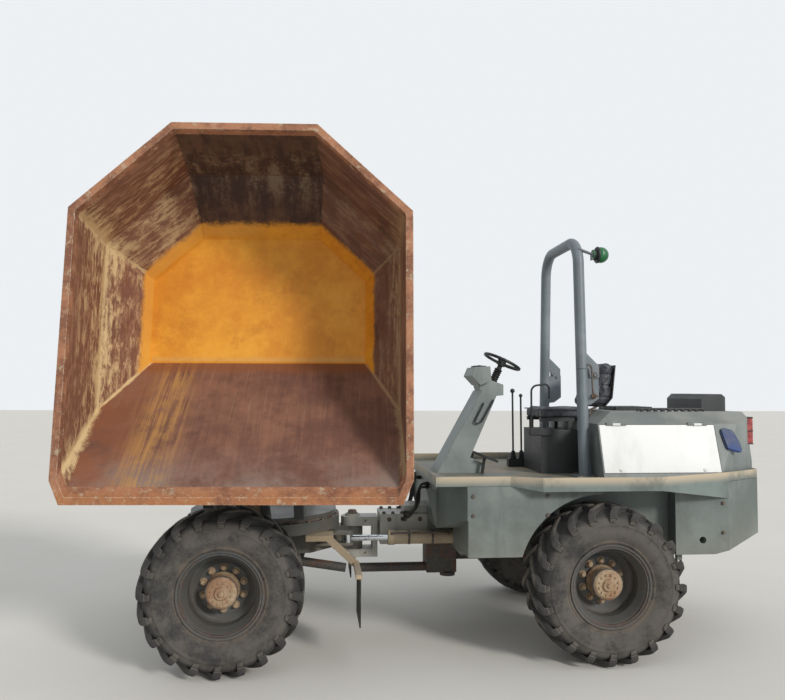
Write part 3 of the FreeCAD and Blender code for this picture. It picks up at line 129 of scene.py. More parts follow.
def make_camera():
    data = bpy.data.cameras.new("camera")
    data.sensor_width = SENSOR_MM
    data.lens = FOCAL_PX * SENSOR_MM / PHOTO_W
    data.clip_end = 200
    camera = bpy.data.objects.new("camera", data)
    bpy.context.scene.collection.objects.link(camera)
    yaw = math.radians(CAMERA_YAW_DEG)
    up = math.radians(CAMERA_UP_DEG)
    forward = Vector((-math.sin(yaw) * math.cos(up), -math.cos(yaw) * math.cos(up), math.sin(up)))
    right = forward.cross(Vector((0, 0, 1))).normalized()
    above = right.cross(forward)
    turn = Matrix.Rotation(math.radians(-CAMERA_ROLL_DEG), 3, forward)
    axes = Matrix((turn @ right, turn @ above, -(turn @ forward))).transposed()
    ground = Vector((ORIGIN.x, ORIGIN.y, 0))
    camera.matrix_world = Matrix.Translation(ground + CAMERA_PLACE) @ axes.to_4x4()
    bpy.context.scene.camera = camera


make_camera()


# Materials

def srgb(code):
    """A linear colour from the six hex digits that it shows as."""
    out = []
    for k in (0, 2, 4):
        c = int(code[k:k + 2], 16) / 255
        out.append(c / 12.92 if c <= 0.04045 else ((c + 0.055) / 1.055) ** 2.4)
    return (*out, 1.0)


class Graph:
    """A material and short calls for the nodes that its finish is made of."""

    def __init__(self, name, roughness=0.6, metallic=0.0):
        self.mat = bpy.data.materials.new(name)
        self.mat.use_nodes = True
        self.nodes = self.mat.node_tree.nodes
        self.shader = self.nodes["Principled BSDF"]
        self.shader.inputs["Roughness"].default_value = roughness
        self.shader.inputs["Metallic"].default_value = metallic
        coords = self.nodes.new("ShaderNodeTexCoord")
        self.place = coords.outputs["Object"]
        self.facing = coords.outputs["Normal"]

    def put(self, value, socket):
        """Links an output to a socket, or sets the socket to a number, a vector or a colour's hex digits."""
        if isinstance(value, bpy.types.NodeSocket):
            self.mat.node_tree.links.new(value, socket)
        else:
            socket.default_value = srgb(value) if isinstance(value, str) else value

    def node(self, kind, sockets, out=0, **settings):
        """Adds a node with its settings and what goes into its sockets, and gives one of its outputs."""
        node = self.nodes.new("ShaderNode" + kind)
        for name, value in settings.items():
            setattr(node, name, value)
        for socket, value in sockets.items():
            self.put(value, node.inputs[socket])
        return node.outputs[out]

    def math(self, operation, a, b=0.0):
        return self.node("Math", {0: a, 1: b}, operation=operation)

    def vector(self, operation, a, b=(0.0, 0.0, 0.0)):
        out = "Value" if operation in ("DOT_PRODUCT", "LENGTH", "DISTANCE") else "Vector"
        return self.node("VectorMath", {0: a, 1: b}, out, operation=operation)

    def split(self, vector):
        return tuple(self.node("SeparateXYZ", {0: vector}).node.outputs)

    def join(self, x, y, z):
        return self.node("CombineXYZ", {0: x, 1: y, 2: z})

    def up(self):
        """1 where the surface faces up, -1 where it faces down."""
        return self.split(self.facing)[2]

    def noise(self, scale, detail=4.0, rough=0.6, stretch=None, place=None, distortion=0.0):
        place = self.place if place is None else place
        if stretch:
            place = self.vector("MULTIPLY", place, stretch)
        return self.node("TexNoise", {"Vector": place, "Scale": scale, "Detail": detail, "Roughness": rough,
                                      "Distortion": distortion})

    def level(self, value, low, high, at_low, at_high):
        """at_low up to low, at_high past high and smooth between; low may be the larger number."""
        if low > high:
            low, high, at_low, at_high = high, low, at_high, at_low
        return self.node("MapRange", {"Value": value, "From Min": low, "From Max": high, "To Min": at_low,
                                      "To Max": at_high}, interpolation_type="SMOOTHSTEP")

    def span(self, value, low, high, share=1.0):
        """0 up to low, share past high and smooth between; low may be the larger number."""
        return self.level(value, low, high, 0.0, share)

    def share(self, what):
        """A share as it is, or the span of a value that a tuple tells."""
        return self.span(*what) if isinstance(what, tuple) else what

    def both(self, *shares):
        """The product of shares."""
        return reduce(partial(self.math, "MULTIPLY"), map(self.share, shares))

    def either(self, *shares):
        """The largest of shares."""
        return reduce(partial(self.math, "MAXIMUM"), map(self.share, shares))

    def plus(self, *terms):
        """The sum of values, each alone or as (value, weight)."""
        values = [self.both(*term) if isinstance(term, tuple) else term for term in terms]
        return reduce(partial(self.math, "ADD"), values)

    def less(self, a):
        return self.math("SUBTRACT", 1.0, a)

    def mix(self, share, a, b):
        return self.node("Mix", {0: self.share(share), 6: a, 7: b}, 2, data_type="RGBA")

    def layers(self, tone, *coats):
        """A tone with coats laid over it, each as (share, colour)."""
        for share, colour in coats:
            tone = self.mix(share, tone, colour)
        return tone

    def from_line(self, place, start, end):
        """The distance of a place from the line between two points."""
        run = Vector(end) - Vector(start)
        rel = self.vector("SUBTRACT", place, start)
        share = self.both(self.vector("DOT_PRODUCT", rel, run), 1 / run.length_squared)
        share = self.math("MINIMUM", self.math("MAXIMUM", share, 0.0), 1.0)
        foot = self.node("VectorMath", {0: run, "Scale": share}, operation="SCALE")
        return self.vector("DISTANCE", rel, foot)

    def rounded(self, radius):
        return self.node("Bevel", {"Radius": radius}, samples=4)

    def edges(self, rounded):
        """1 along sharp edges, 0 on flat and smooth places."""
        true = self.node("NewGeometry", {}, "Normal")
        return self.span(self.vector("DOT_PRODUCT", rounded, true), 0.995, 0.9)

    def bump(self, height, strength=0.3, depth=0.002, normal=None):
        sockets = {"Height": height, "Strength": strength, "Distance": depth}
        if normal is not None:
            sockets["Normal"] = normal
        return self.node("Bump", sockets)

    def done(self, colour, roughness=None, normal=None):
        for name, value in (("Base Color", colour), ("Roughness", roughness), ("Normal", normal)):
            if value is not None:
                self.put(value, self.shader.inputs[name])
        return self.mat


def paint(name, base, pale, dark, rust=0.3, dust=0.3, dust_top=0.0, worn="8d8a80"):
    """Old paint: faded in clouds and runs, chipped to rust at its edges, dusty low down."""
    g = Graph(name)
    clouds = g.noise(1.6, 5, 0.65)
    runs = g.noise(5.0, 4, 0.6, stretch=(1.0, 1.0, 0.12))
    fine = g.noise(38.0, 3, 0.7)
    patches = g.noise(7.0, 6, 0.75)
    soft = g.rounded(0.004)
    edge = g.edges(soft)
    spots = g.span(g.noise(24.0, 5, 0.7), 0.70 - 0.08 * rust, 0.76 - 0.06 * rust)
    spots = g.both(spots, (patches, 0.47, 0.62))
    chips = g.both(edge, (patches, 0.62 - 0.25 * rust, 0.70 - 0.2 * rust))
    rusty = g.either(spots, chips)
    height = g.split(g.place)[2]
    tone = g.layers(
        g.mix((clouds, 0.38, 0.66), base, pale),
        ((runs, 0.52, 0.72, 0.55), dark),
        ((fine, 0.5, 0.8, 0.25), pale),
        (g.both(edge, (fine, 0.45, 0.6)), worn),
        ((g.plus(height, (clouds, 0.8)), 1.45, 0.85, dust), "8f8473"))
    if dust_top:
        tone = g.mix(g.both((g.up(), 0.6, 0.95, dust_top), (clouds, 0.3, 0.6)), tone, "a2947d")
    tone = g.mix(rusty, tone, g.mix((fine, 0.35, 0.65), "4b2b1c", "8a5230"))
    rough = g.either(g.level(clouds, 0.3, 0.7, 0.42, 0.62), g.both(rusty, 0.85))
    relief = g.plus(g.noise(3.0, 2, 0.5), (fine, 0.10), (rusty, -0.25))
    return g.done(tone, rough, g.bump(relief, 0.35, 0.006, soft))


def casting(name, base, pale, rust_tone="7b4a2c", share=0.5):
    """Bare or thinly painted metal with dirt and rust in clouds."""
    g = Graph(name, 0.7)
    clouds = g.noise(6.0, 6, 0.7)
    fine = g.noise(60.0, 4, 0.7)
    soft = g.rounded(0.003)
    tone = g.layers(
        g.mix((fine, 0.35, 0.7), base, pale),
        ((clouds, 0.45, 0.62, share), rust_tone),
        (g.both(g.edges(soft), 0.5), pale))
    return g.done(tone, g.level(clouds, 0.3, 0.7, 0.55, 0.85), g.bump(fine, 0.4, 0.0015, soft))


def skip_axes():
    """The skip's own origin at its lip and its directions: along the rim, across and down, in the model."""
    tip = math.radians(TIPPED_DEG)
    turn = Matrix.Rotation(math.radians(TURN_DEG), 3, "Z")
    along = turn @ Vector((-math.cos(tip), 0, math.sin(tip)))
    across = turn @ Vector((0, 1, 0))
    down = turn @ Vector((-math.sin(tip), 0, -math.cos(tip)))
    lip = turn @ (Vector((LIP[0], 0, LIP[1])) / 1000) + Vector((TURN_X / 1000, 0, 0)) + ORIGIN
    return lip, along, across, down


class SkipGraph(Graph):
    """The skip's material: its own measures in metres, the faces that it tells apart, and its noises."""

    def __init__(self):
        super().__init__("skip_steel", 0.7)
        lip, along, across, down = skip_axes()
        rel = self.vector("SUBTRACT", self.place, lip)
        ways = (along, across, down)
        self.v, self.w, self.d = [self.vector("DOT_PRODUCT", rel, way) for way in ways]
        face_v, face_w, face_d = [self.vector("DOT_PRODUCT", self.facing, way) for way in ways]
        middle = lip + along * 1.3 + down * 0.3
        inward = self.vector("DOT_PRODUCT", self.facing, self.vector("SUBTRACT", middle, self.place))
        self.inside = self.both((inward, -0.02, 0.02), (self.d, 0.975, 0.968))
        self.side = self.span(self.math("ABSOLUTE", face_w), 0.35, 0.6)
        self.rear = self.both((face_v, -0.3, -0.6), self.less(self.side))
        self.chute = self.both((face_v, 0.3, 0.6), self.less(self.side))
        self.bottom = self.span(face_d, -0.7, -0.9)
        # Left half: where the walls and folds are lighter there, that is partly real scouring and partly
        # painted sunlight, with the right wall left darker as painted shade.
        self.left = self.span(self.w, 0.1, -0.1)
        self.clouds = self.noise(1.7, 6, 0.7)
        self.blotch = self.noise(5.5, 6, 0.72)
        self.fine = self.noise(42.0, 4, 0.7)
        self.run_side = self.streaks(self.d, 20.0, self.v, 2.2, 3.0)
        self.streak = self.streaks(self.d, 34.0, self.v, 9.0, 11.0, rough=0.75, distortion=0.8)
        self.mottle = self.plus((self.run_side, 0.35), (self.blotch, 0.30), (self.streak, 0.40),
                                (self.clouds, 0.30), -0.135)

    def streaks(self, one, one_scale, two, two_scale, seed, detail=5, rough=0.68, distortion=0.0):
        """Noise over two of the skip's measures, drawn out along the one with the smaller scale."""
        place = self.join(self.both(one, one_scale), self.both(two, two_scale), seed)
        return self.noise(1.0, detail, rough, place=place, distortion=distortion)


def skip_brown(g):
    """The bare steel under everything inside."""
    return g.layers(
        g.mix((g.clouds, 0.36, 0.64), "5a3a2c", "76503a"),
        ((g.blotch, 0.52, 0.68, 0.7), "45302b"),
        ((g.fine, 0.55, 0.75, 0.35), "8a5a3a"))


def skip_chute(g):
    """Scratched brown, with ochre where material ran down the chute's left part and a painted grey sheen
    near the lip.
    """
    run_along = g.streaks(g.w, 22.0, g.v, 1.5, 0.0, rough=0.65)
    scratches = g.streaks(g.w, 90.0, g.v, 2.5, 5.0, detail=3, rough=0.7)
    stained = g.plus((g.clouds, 0.7), (run_along, 0.3))
    mottled = g.plus((run_along, 0.35), (g.blotch, 0.35), (scratches, 0.35))
    band = g.both((g.w, -0.84, -0.64), (g.w, -0.34, -0.54))
    return g.layers(
        g.mix((stained, 0.40, 0.60), "6b483b", "8a5f4c"),
        (g.both((scratches, 0.52, 0.74), (g.clouds, 0.3, 0.6)), "96735c"),
        ((g.blotch, 0.50, 0.66, 0.45), "56382f"),
        # Greyer near the lip: a painted sheen.
        (g.both((g.v, 0.40, 0.05), (g.clouds, 0.35, 0.6)), "84736a"),
        (g.both(band, (mottled, 0.46, 0.60, 0.8)), "b98a4d"),
        (g.both((g.w, -0.50, -0.95, 0.7), (g.blotch, 0.30, 0.62)), "8f5636"),
        ((g.plus(g.v, (g.blotch, 0.10)), 0.93, 1.0, 0.7), "8a5029"))


def skip_sides(g, tone):
    """Cream where loads scoured the paint; on the left the walls are lighter and redder, partly real
    scouring and partly painted sunlight.
    """
    scoured = g.both((g.mottle, 0.52, 0.64), (g.d, 0.04, 0.32))
    return g.layers(
        g.mix((g.run_side, 0.4, 0.65), tone, "74554a"),
        # Lighter, redder tones and more cream on the left wall: painted sunlight, partly real scouring.
        (g.both(g.left, 0.65), g.mix((g.streak, 0.42, 0.62), "7a4f3a", "a4775a")),
        (g.both(scoured, g.plus(0.25, (g.left, 0.55))), "c8ab7f"))


def skip_rear(g):
    """Darker than the other walls as painted shade, with grey and cream runs between the rim and the floor.
    """
    run_rear = g.streaks(g.w, 11.0, g.d, 2.6, 7.0)
    flecks = g.plus((run_rear, 0.4), (g.blotch, 0.3), (g.fine, 0.35))
    worn = g.both((flecks, 0.50, 0.62, 0.8), (g.d, 0.18, 0.42), (g.d, 0.84, 0.55))
    return g.layers(
        # Its darker browns are painted shade.
        g.mix((g.plus((run_rear, 0.5), (g.blotch, 0.5)), 0.42, 0.6), "3f2e27", "604636"),
        (worn, "80735f"))


def skip_folds(g):
    """The share of cream along the folds between the skip's plates, and in a haze beside them."""
    folded = g.join(g.v, g.math("ABSOLUTE", g.w), g.d)
    ring_low, ring_high = Vector(RING[0]) / 1000, Vector(RING[1]) / 1000
    rim_low, rim_high = (0.145, 1.047, 0.0), (1.849, 1.047, 0.0)
    wide = g.from_line(folded, rim_low, ring_low)
    level = g.from_line(folded, ring_low, ring_high)
    top = g.from_line(folded, rim_high, ring_high)
    low = g.from_line(folded, ring_low, Vector(FLOOR[0]) / 1000)
    high = g.from_line(folded, ring_high, Vector(FLOOR[1]) / 1000)
    jitter = g.plus((g.blotch, 0.16), -0.08)
    small_jitter = g.both(jitter, 0.3)
    nearest = g.math("MINIMUM", g.math("MINIMUM", wide, level), top)
    haze = g.both(g.side, (nearest, 0.22, 0.01))
    share = g.either(
        (g.plus(wide, jitter), 0.05, 0.012),
        (g.plus(level, jitter), 0.045, 0.006, 0.8),
        (g.plus(top, jitter), 0.05, 0.008, 0.8),
        g.both(haze, (g.plus(g.mottle, (haze, 0.05)), 0.52, 0.66, 0.85)),
        (g.plus(low, small_jitter), 0.02, 0.004),
        (g.plus(high, small_jitter), 0.016, 0.004, 0.8))
    # More cream along the folds on the left: partly real scouring, partly painted sunlight.
    return g.both(share, g.plus(0.35, (g.left, 0.6)))


def skip_yellow(g):
    """The share and the tone of the yellow floor, which fades up the walls."""
    ragged = g.plus(g.d, (g.blotch, 0.08), (g.fine, 0.05), -0.065)
    share = g.both((ragged, 0.835, 0.885), g.less(g.both(g.chute, (g.v, 1.0, 0.985))))
    foot = g.span(g.plus(g.v, (g.blotch, 0.06)), 1.09, 1.03, 0.5)
    tone = g.layers(
        g.mix((g.clouds, 0.35, 0.65), "d38418", "eca52e"),
        ((g.blotch, 0.5, 0.7, 0.5), "bb6f11"),
        ((g.fine, 0.6, 0.75, 0.3), "e3ab4c"),
        (g.both((g.d, 0.955, 0.93, 0.55), g.left), "d9a04a"),
        (g.both(foot, g.bottom), "c9a564"))
    return share, tone


def skip_outside(g):
    """Worn dark paint over rust."""
    run_down = g.noise(1.0, 4, 0.7, stretch=(14.0, 14.0, 1.6))
    patch = g.span(g.plus((g.blotch, 0.6), (g.clouds, 0.3), (run_down, 0.35)), 0.60, 0.74)
    rust_tone = g.mix((g.fine, 0.4, 0.62), "4e3328", "75492f")
    return g.mix(patch, g.mix((g.clouds, 0.4, 0.6), "4f5450", "656b67"), rust_tone)


def skip_bar(g, edge):
    """Orange rust with light, rubbed edges."""
    return g.layers(
        g.mix((g.blotch, 0.38, 0.62), "7a503c", "a87557"),
        (g.both((g.v, 0.12, 0.02), (g.blotch, 0.3, 0.6)), "a0683f"),
        ((g.fine, 0.50, 0.7, 0.55), "b58462"),
        ((g.noise(19.0, 5, 0.75), 0.55, 0.66, 0.7), "b5a48a"),
        (g.both(edge, (g.fine, 0.35, 0.6)), "ccbda2"))


def skip_steel():
    """Rust brown inside with scoured cream folds, a yellow floor, a rusty rim and worn paint outside."""
    g = SkipGraph()
    yellow, yellow_tone = skip_yellow(g)
    soft = g.rounded(0.006)
    tone = g.mix(g.chute, skip_brown(g), skip_chute(g))
    tone = g.layers(
        tone,
        (g.side, skip_sides(g, tone)),
        (g.rear, skip_rear(g)),
        (skip_folds(g), "d6bc8c"),
        (yellow, yellow_tone))
    tone = g.mix(g.inside, skip_outside(g), tone)
    tone = g.mix((g.d, 0.0622, 0.0605), tone, skip_bar(g, g.edges(soft)))
    relief = g.plus((g.fine, 0.35), (g.blotch, 0.8), (g.noise(2.2, 2, 0.5), 2.0))
    return g.done(tone, g.plus(0.78, (yellow, -0.22)), g.bump(relief, 0.45, 0.006, soft))


def tyre_rubber():
    """Black rubber, dusty on its sides and scuffed on its lugs."""
    g = Graph("tyre_rubber", 0.85)
    rel = g.split(g.vector("SUBTRACT", g.place, at(0, 0, TYRE_R)))
    from_axle = g.plus(g.math("ABSOLUTE", rel[0]), -mm(AXLE_X))
    radius = g.vector("LENGTH", g.join(from_axle, 0.0, rel[2]))
    clouds = g.noise(4.5, 6, 0.7)
    fine = g.noise(70.0, 4, 0.7)
    soft = g.rounded(0.004)
    dusty = g.span(g.plus(clouds, (fine, 0.3)), 0.48, 0.74, 0.5)
    tone = g.layers(
        g.mix((clouds, 0.35, 0.65), "302f2f", "413f3d"),
        (g.both((radius, mm(478), mm(452)), dusty), "6b655e"),
        (g.both((radius, mm(330), mm(300), 0.45), (clouds, 0.35, 0.6)), "6e6253"),
        (g.both((radius, mm(523), mm(533)), (clouds, 0.3, 0.6)), "6a635b"),
        (g.both(g.edges(soft), 0.45), "7b736a"))
    rings = g.both(g.math("SINE", g.both(radius, 1400.0)), (radius, mm(430), mm(415)),
                   (radius, mm(385), mm(395)))
    relief = g.plus((fine, 0.5), (rings, 0.5))
    return g.done(tone, g.level(clouds, 0.3, 0.7, 0.78, 0.92), g.bump(relief, 0.4, 0.002, soft))


def lozenges(g, per_metre):
    """Raised lozenges in a grid, each across its neighbours."""
    x, y = [g.both(way, per_metre) for way in g.split(g.place)[:2]]
    parity = g.math("ABSOLUTE", g.math("MODULO", g.plus(g.math("FLOOR", x), g.math("FLOOR", y)), 2.0))
    x_off, y_off = [g.plus(g.math("FRACT", way), -0.5) for way in (x, y)]
    x_square, y_square = g.both(x_off, x_off), g.both(y_off, y_off)
    long, short = 2.3 ** 2, 8.0 ** 2
    one = g.span(g.plus((x_square, long), (y_square, short)), 1.1, 0.7)
    two = g.span(g.plus((x_square, short), (y_square, long)), 1.1, 0.7)
    return g.plus((one, g.less(parity)), (two, parity))


def tread_plate():
    """Deck paint: raised lozenges under dust on top, faded paint on its edges."""
    g = Graph("deck_paint", 0.6)
    clouds = g.noise(2.2, 6, 0.7)
    fine = g.noise(45.0, 4, 0.7)
    top = g.span(g.up(), 0.7, 0.95)
    bars = g.both(lozenges(g, 30.0), top)
    soft = g.rounded(0.005)
    side_dust = g.both(g.less(top), (g.split(g.place)[2], 1.19, 1.26), (clouds, 0.30, 0.55))
    rusty = g.both(g.either(g.edges(soft), g.both(top, 0.55)), (g.noise(9.0, 6, 0.75), 0.56, 0.66))
    tone = g.layers(
        g.mix((clouds, 0.38, 0.64), "5d6663", "75807c"),
        (g.both(top, (g.plus(clouds, (fine, 0.25)), 0.45, 0.72, 0.8)), "978a74"),
        (g.both(bars, 0.45), "4c4f4b"),
        (side_dust, "baab94"),
        (rusty, g.mix((fine, 0.4, 0.6), "6d4128", "9a6238")))
    relief = g.plus(bars, (fine, 0.12))
    return g.done(tone, g.level(clouds, 0.3, 0.7, 0.5, 0.75), g.bump(relief, 0.7, 0.002, soft))


def vinyl():
    """Black seat vinyl: fine grain, creases and dust."""
    g = Graph("seat_vinyl", 0.5)
    grain = g.node("TexVoronoi", {"Vector": g.place, "Scale": 420.0}, "Distance")
    folds = g.noise(11.0, 5, 0.6, distortion=1.2)
    dust = g.both((g.noise(3.0, 5, 0.7), 0.42, 0.7), (g.up(), 0.2, 0.9, 0.35))
    tone = g.mix(dust, g.mix((folds, 0.4, 0.65), "2b2e34", "484c54"), "77716a")
    relief = g.plus((grain, 0.5), (folds, 1.4))
    return g.done(tone, g.level(folds, 0.3, 0.7, 0.38, 0.6), g.bump(relief, 0.35, 0.003))


def plastic(name, base, pale, rough=0.45):
    g = Graph(name, rough)
    clouds = g.noise(9.0, 4, 0.6)
    soft = g.rounded(0.003)
    tone = g.layers(
        g.mix((clouds, 0.4, 0.7), base, pale),
        (g.both(g.edges(soft), 0.35), pale))
    grain = g.bump(g.noise(160.0, 2, 0.5), 0.25, 0.0008, soft)
    return g.done(tone, g.level(clouds, 0.3, 0.7, rough - 0.08, rough + 0.12), grain)


def lens(name, base, deep, lines):
    """Coloured translucent plastic with moulded ribs."""
    g = Graph(name, 0.18)
    clouds = g.noise(14.0, 3, 0.6)
    ribs = g.math("SINE", g.both(g.split(g.place)[2], lines))
    g.shader.inputs["Coat Weight"].default_value = 0.2
    tone = g.mix((clouds, 0.35, 0.7), base, deep)
    return g.done(tone, g.level(clouds, 0.3, 0.7, 0.3, 0.5), g.bump(ribs, 0.3, 0.0015))


def chrome():
    g = Graph("chrome_rod", 0.12, 1.0)
    marks = g.noise(30.0, 4, 0.6, stretch=(1.0, 0.2, 1.0))
    tone = g.mix((marks, 0.55, 0.75), "cfd3d6", "8d9196")
    return g.done(tone, g.level(marks, 0.3, 0.7, 0.08, 0.3), g.bump(marks, 0.1, 0.0004))


def flap_rubber():
    g = Graph("flap_rubber", 0.8)
    clouds = g.noise(6.0, 6, 0.7)
    tone = g.layers(
        g.mix((clouds, 0.35, 0.65), "1f1f1f", "3a3733"),
        ((clouds, 0.5, 0.7, 0.5), "6d6253"))
    relief = g.plus(g.noise(90.0, 3, 0.6), (clouds, 2.0))
    return g.done(tone, 0.85, g.bump(relief, 0.4, 0.003, g.rounded(0.003)))


WHITE_PAINT = paint("door_white", "e3e4e3", "ecedec", "d2d3d1", rust=0.05, dust=0.0, worn="b9b7b0")
HUB_METAL = casting("hub_metal", "968166", "b39c80", "85573a", share=0.6)
BOLT_METAL = casting("bolt_metal", "4a4541", "6f6963", "6e4a34", share=0.5)
SKIP_STEEL = skip_steel()
TYRE_RUBBER = tyre_rubber()
FLAP_RUBBER = flap_rubber()
SEAT_VINYL = vinyl()
BLACK_PLASTIC = plastic("black_plastic", "1b1c1d", "2f3133")
BLUE_PLASTIC = plastic("blue_plastic", "152647", "22407a", 0.5)
DIAL_FACE = plastic("dial_face", "101112", "2a2c2e", 0.3)

# Each finish with the starts of its nodes' names; a node takes the longest that fits
FINISHES = (
    (paint("frame_paint", "5c6461", "78807c", "464d4b", rust=0.35, dust=0.3), ""),
    (paint("cover_paint", "69706f", "868c8a", "525957", rust=0.25, dust=0.1, dust_top=0.2), "engine_cover"),
    (paint("console_paint", "737b79", "8b9391", "5c6462", dust=0.1), "console", "dash"),
    (paint("dark_paint", "2b2e2f", "3c4041", "1f2122"), "seat_base", "seat_rails", "air_intake"),
    (paint("hoop_paint", "6b747a", "828c93", "5a6268", rust=0.55, dust=0.1),
     "hoop", "roll_hoop", "beacon_bracket"),
    (paint("wheel_paint", "30363a", "424a4f", "23282a", rust=0.75, dust=0.2, worn="7b6a5c"), "rim"),
    (paint("turntable_paint", "3a3f3f", "4a504f", "2a2e2e", rust=0.5, dust=0.5),
     "swivel_frame", "front_chassis"),
    (paint("pivot_paint", "9c9d98", "b4b3ab", "7f807b", rust=0.35, dust=0.3, worn="c4c2b8"), "pivot_head"),
    (paint("ram_paint", "9c8a70", "b6a488", "6f5a45", rust=0.8, dust=0.2, worn="c2b59b"),
     "skip_ears", "ram_bracket", "tip_barrel", "steer_barrel", "flap_arm"),
    (casting("cast_metal", "3b3a38", "54514d", share=0.45),
     "engine", "rear_axle", "front_axle", "transfer_box", "pivot_shaft", "rear_shaft", "front_shaft",
     "tow_hitch"),
    (tread_plate(), "deck"),
    (chrome(), "tip_rod", "steer_rod"),
    (lens("beacon_green", "0b6a35", "0a4a28", 900.0), "beacon"),
    (lens("lamp_red", "a81a14", "7a100d", 700.0), "tail_lamp"),
    (BLACK_PLASTIC, "steering_wheel", "levers", "pedals", "hood_vent"),
    (WHITE_PAINT, "door"),
    (HUB_METAL, "hub"),
    (BOLT_METAL, "slew_ring"),
    (SKIP_STEEL, "skip"),
    (TYRE_RUBBER, "tyre"),
    (FLAP_RUBBER, "mud_flap"),
    (SEAT_VINYL, "seat"),
)
BY_START = {start: finish for finish, *starts in FINISHES for start in starts}
for name, obj in NODES.items():
    fitting = [start for start in BY_START if name.startswith(start)]
    obj.data.materials.clear()
    obj.data.materials.append(BY_START[max(fitting, key=len)])


# Mesh pieces: points are places in the model, sizes are in millimetres

def circle(count, start=0.0):
    """The angles of places spread round a circle; start is a share of one step."""
    return [2 * math.pi * (k + start) / count for k in range(count)]


def basis(axis):
    axis = Vector(axis).normalized()
    one = axis.orthogonal().normalized()
    return one, axis.cross(one), axis


def make_piece(name, bm, material, body="rear_body", sharp_deg=38.0):
    """Turns the mesh in bm into a named piece that rides on a body."""
    bmesh.ops.recalc_face_normals(bm, faces=bm.faces)
    limit = math.radians(sharp_deg)
    for edge in bm.edges:
        edge.smooth = edge.calc_face_angle(0.0) < limit
    for face in bm.faces:
        face.smooth = True
    mesh = bpy.data.meshes.new(name)
    bm.to_mesh(mesh)
    bm.free()
    obj = bpy.data.objects.new(name, mesh)
    bpy.context.scene.collection.objects.link(obj)
    mesh.materials.append(material)
    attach(obj, body)
    return obj


def make_black(name, bm, body="rear_body"):
    make_piece(name, bm, BLACK_PLASTIC, body)


def add_rings(bm, rings, loop=False):
    """Joins rings of points, each with as many points, with faces, and closes the ends or the loop."""
    made = [[bm.verts.new(p) for p in ring] for ring in rings]
    pairs = list(zip(made, made[1:]))
    if loop:
        pairs.append((made[-1], made[0]))
    for one, two in pairs:
        for k in range(len(one)):
            j = (k + 1) % len(one)
            bm.faces.new((one[k], one[j], two[j], two[k]))
    if not loop:
        bm.faces.new(made[0])
        bm.faces.new(made[-1])


def add_turned(bm, centre, axis, profile, segments=24):
    """Turns an outline of (distance along the axis, radius) round the axis.

    An outline that ends where it starts makes a ring.
    """
    one, two, along = basis(axis)
    made = []
    for a in circle(segments):
        out = one * math.cos(a) + two * math.sin(a)
        made.append([bm.verts.new(centre + along * mm(t) + out * mm(r)) for t, r in profile])
    for ring, after in zip(made, made[1:] + made[:1]):
        for j in range(len(profile) - 1):
            bm.faces.new((ring[j], ring[j + 1], after[j + 1], after[j]))
    for j in (0, len(profile) - 1):
        if profile[j][1] > 0 and profile[0] != profile[-1]:
            bm.faces.new([ring[j] for ring in made])
    bmesh.ops.remove_doubles(bm, verts=[v for ring in made for v in ring], dist=1e-6)


def add_hex(bm, foot, axis, across, height, washer=True, turn=0.0):
    """A bolt head or nut with chamfered corners on a washer."""
    one, two, along = basis(axis)
    radius = across / math.sqrt(3)
    if washer:
        profile = [(0, radius * 1.25), (across * 0.10, radius * 1.25), (across * 0.12, radius * 1.1)]
        add_turned(bm, foot, axis, profile, 16)
    rings = []
    for t, r in ((0.0, radius), (height * 0.82, radius), (height, radius * 0.8)):
        middle = foot + along * mm(t + across * 0.1)
        ways = [one * math.cos(a + turn) + two * math.sin(a + turn) for a in circle(6)]
        rings.append([middle + way * mm(r) for way in ways])
    add_rings(bm, rings)


def add_tube(bm, points, radius, sides=10, loop=False):
    """A round bar along points; radius is a number or one for each point."""
    rings = []
    count = len(points)
    side = None
    for k, p in enumerate(points):
        before = points[k - 1] if k > 0 or loop else p
        after = points[(k + 1) % count] if k < count - 1 or loop else p
        along = (after - before).normalized()
        if side is None:
            side = along.orthogonal()
        side = (side - along * side.dot(along)).normalized()
        up = along.cross(side)
        r = mm(radius[k] if isinstance(radius, list) else radius)
        rings.append([p + (side * math.cos(a) + up * math.sin(a)) * r for a in circle(sides)])
    add_rings(bm, rings, loop=loop)


def bent(points, bend, steps=6):
    """A bar's middle line with its corners bent to a radius."""
    out = [points[0]]
    for before, corner, after in zip(points, points[1:], points[2:]):
        u = (before - corner).normalized()
        w = (after - corner).normalized()
        reach = min(mm(bend), (before - corner).length * 0.45, (after - corner).length * 0.45)
        start, end = corner + u * reach, corner + w * reach
        for k in range(steps + 1):
            t = k / steps
            out.append(start * (1 - t) ** 2 + corner * 2 * t * (1 - t) + end * t ** 2)
    out.append(points[-1])
    return out


def route(*places):
    """Points of the drawing frame as places in the model."""
    return [at(*place) for place in places]


def add_block(bm, low, high, round_by=3):
    """A box with its edges rounded."""
    made = bmesh.ops.create_cube(bm, size=1.0)["verts"]
    for vert in made:
        vert.co = Vector([(low[k] + high[k]) / 2 + vert.co[k] * (high[k] - low[k]) for k in range(3)])
    edges = list(dict.fromkeys(edge for vert in made for edge in vert.link_edges))
    bmesh.ops.bevel(bm, geom=edges, offset=mm(round_by), segments=2, affect="EDGES")


def add_plate(bm, outline, thickness, round_by):
    """A flat plate from an outline of points, made thick along its normal with its edges rounded."""
    verts = [bm.verts.new(p) for p in outline]
    face = bm.faces.new(verts)
    face.normal_update()
    normal = face.normal.copy()
    grown = bmesh.ops.extrude_face_region(bm, geom=[face])["geom"]
    top = [g for g in grown if isinstance(g, bmesh.types.BMVert)]
    bmesh.ops.translate(bm, verts=top, vec=normal * mm(thickness))
    edges = list(dict.fromkeys(edge for vert in verts + top for edge in vert.link_edges))
    bmesh.ops.bevel(bm, geom=edges, offset=mm(round_by), segments=2, affect="EDGES")


# Wheels and bolts

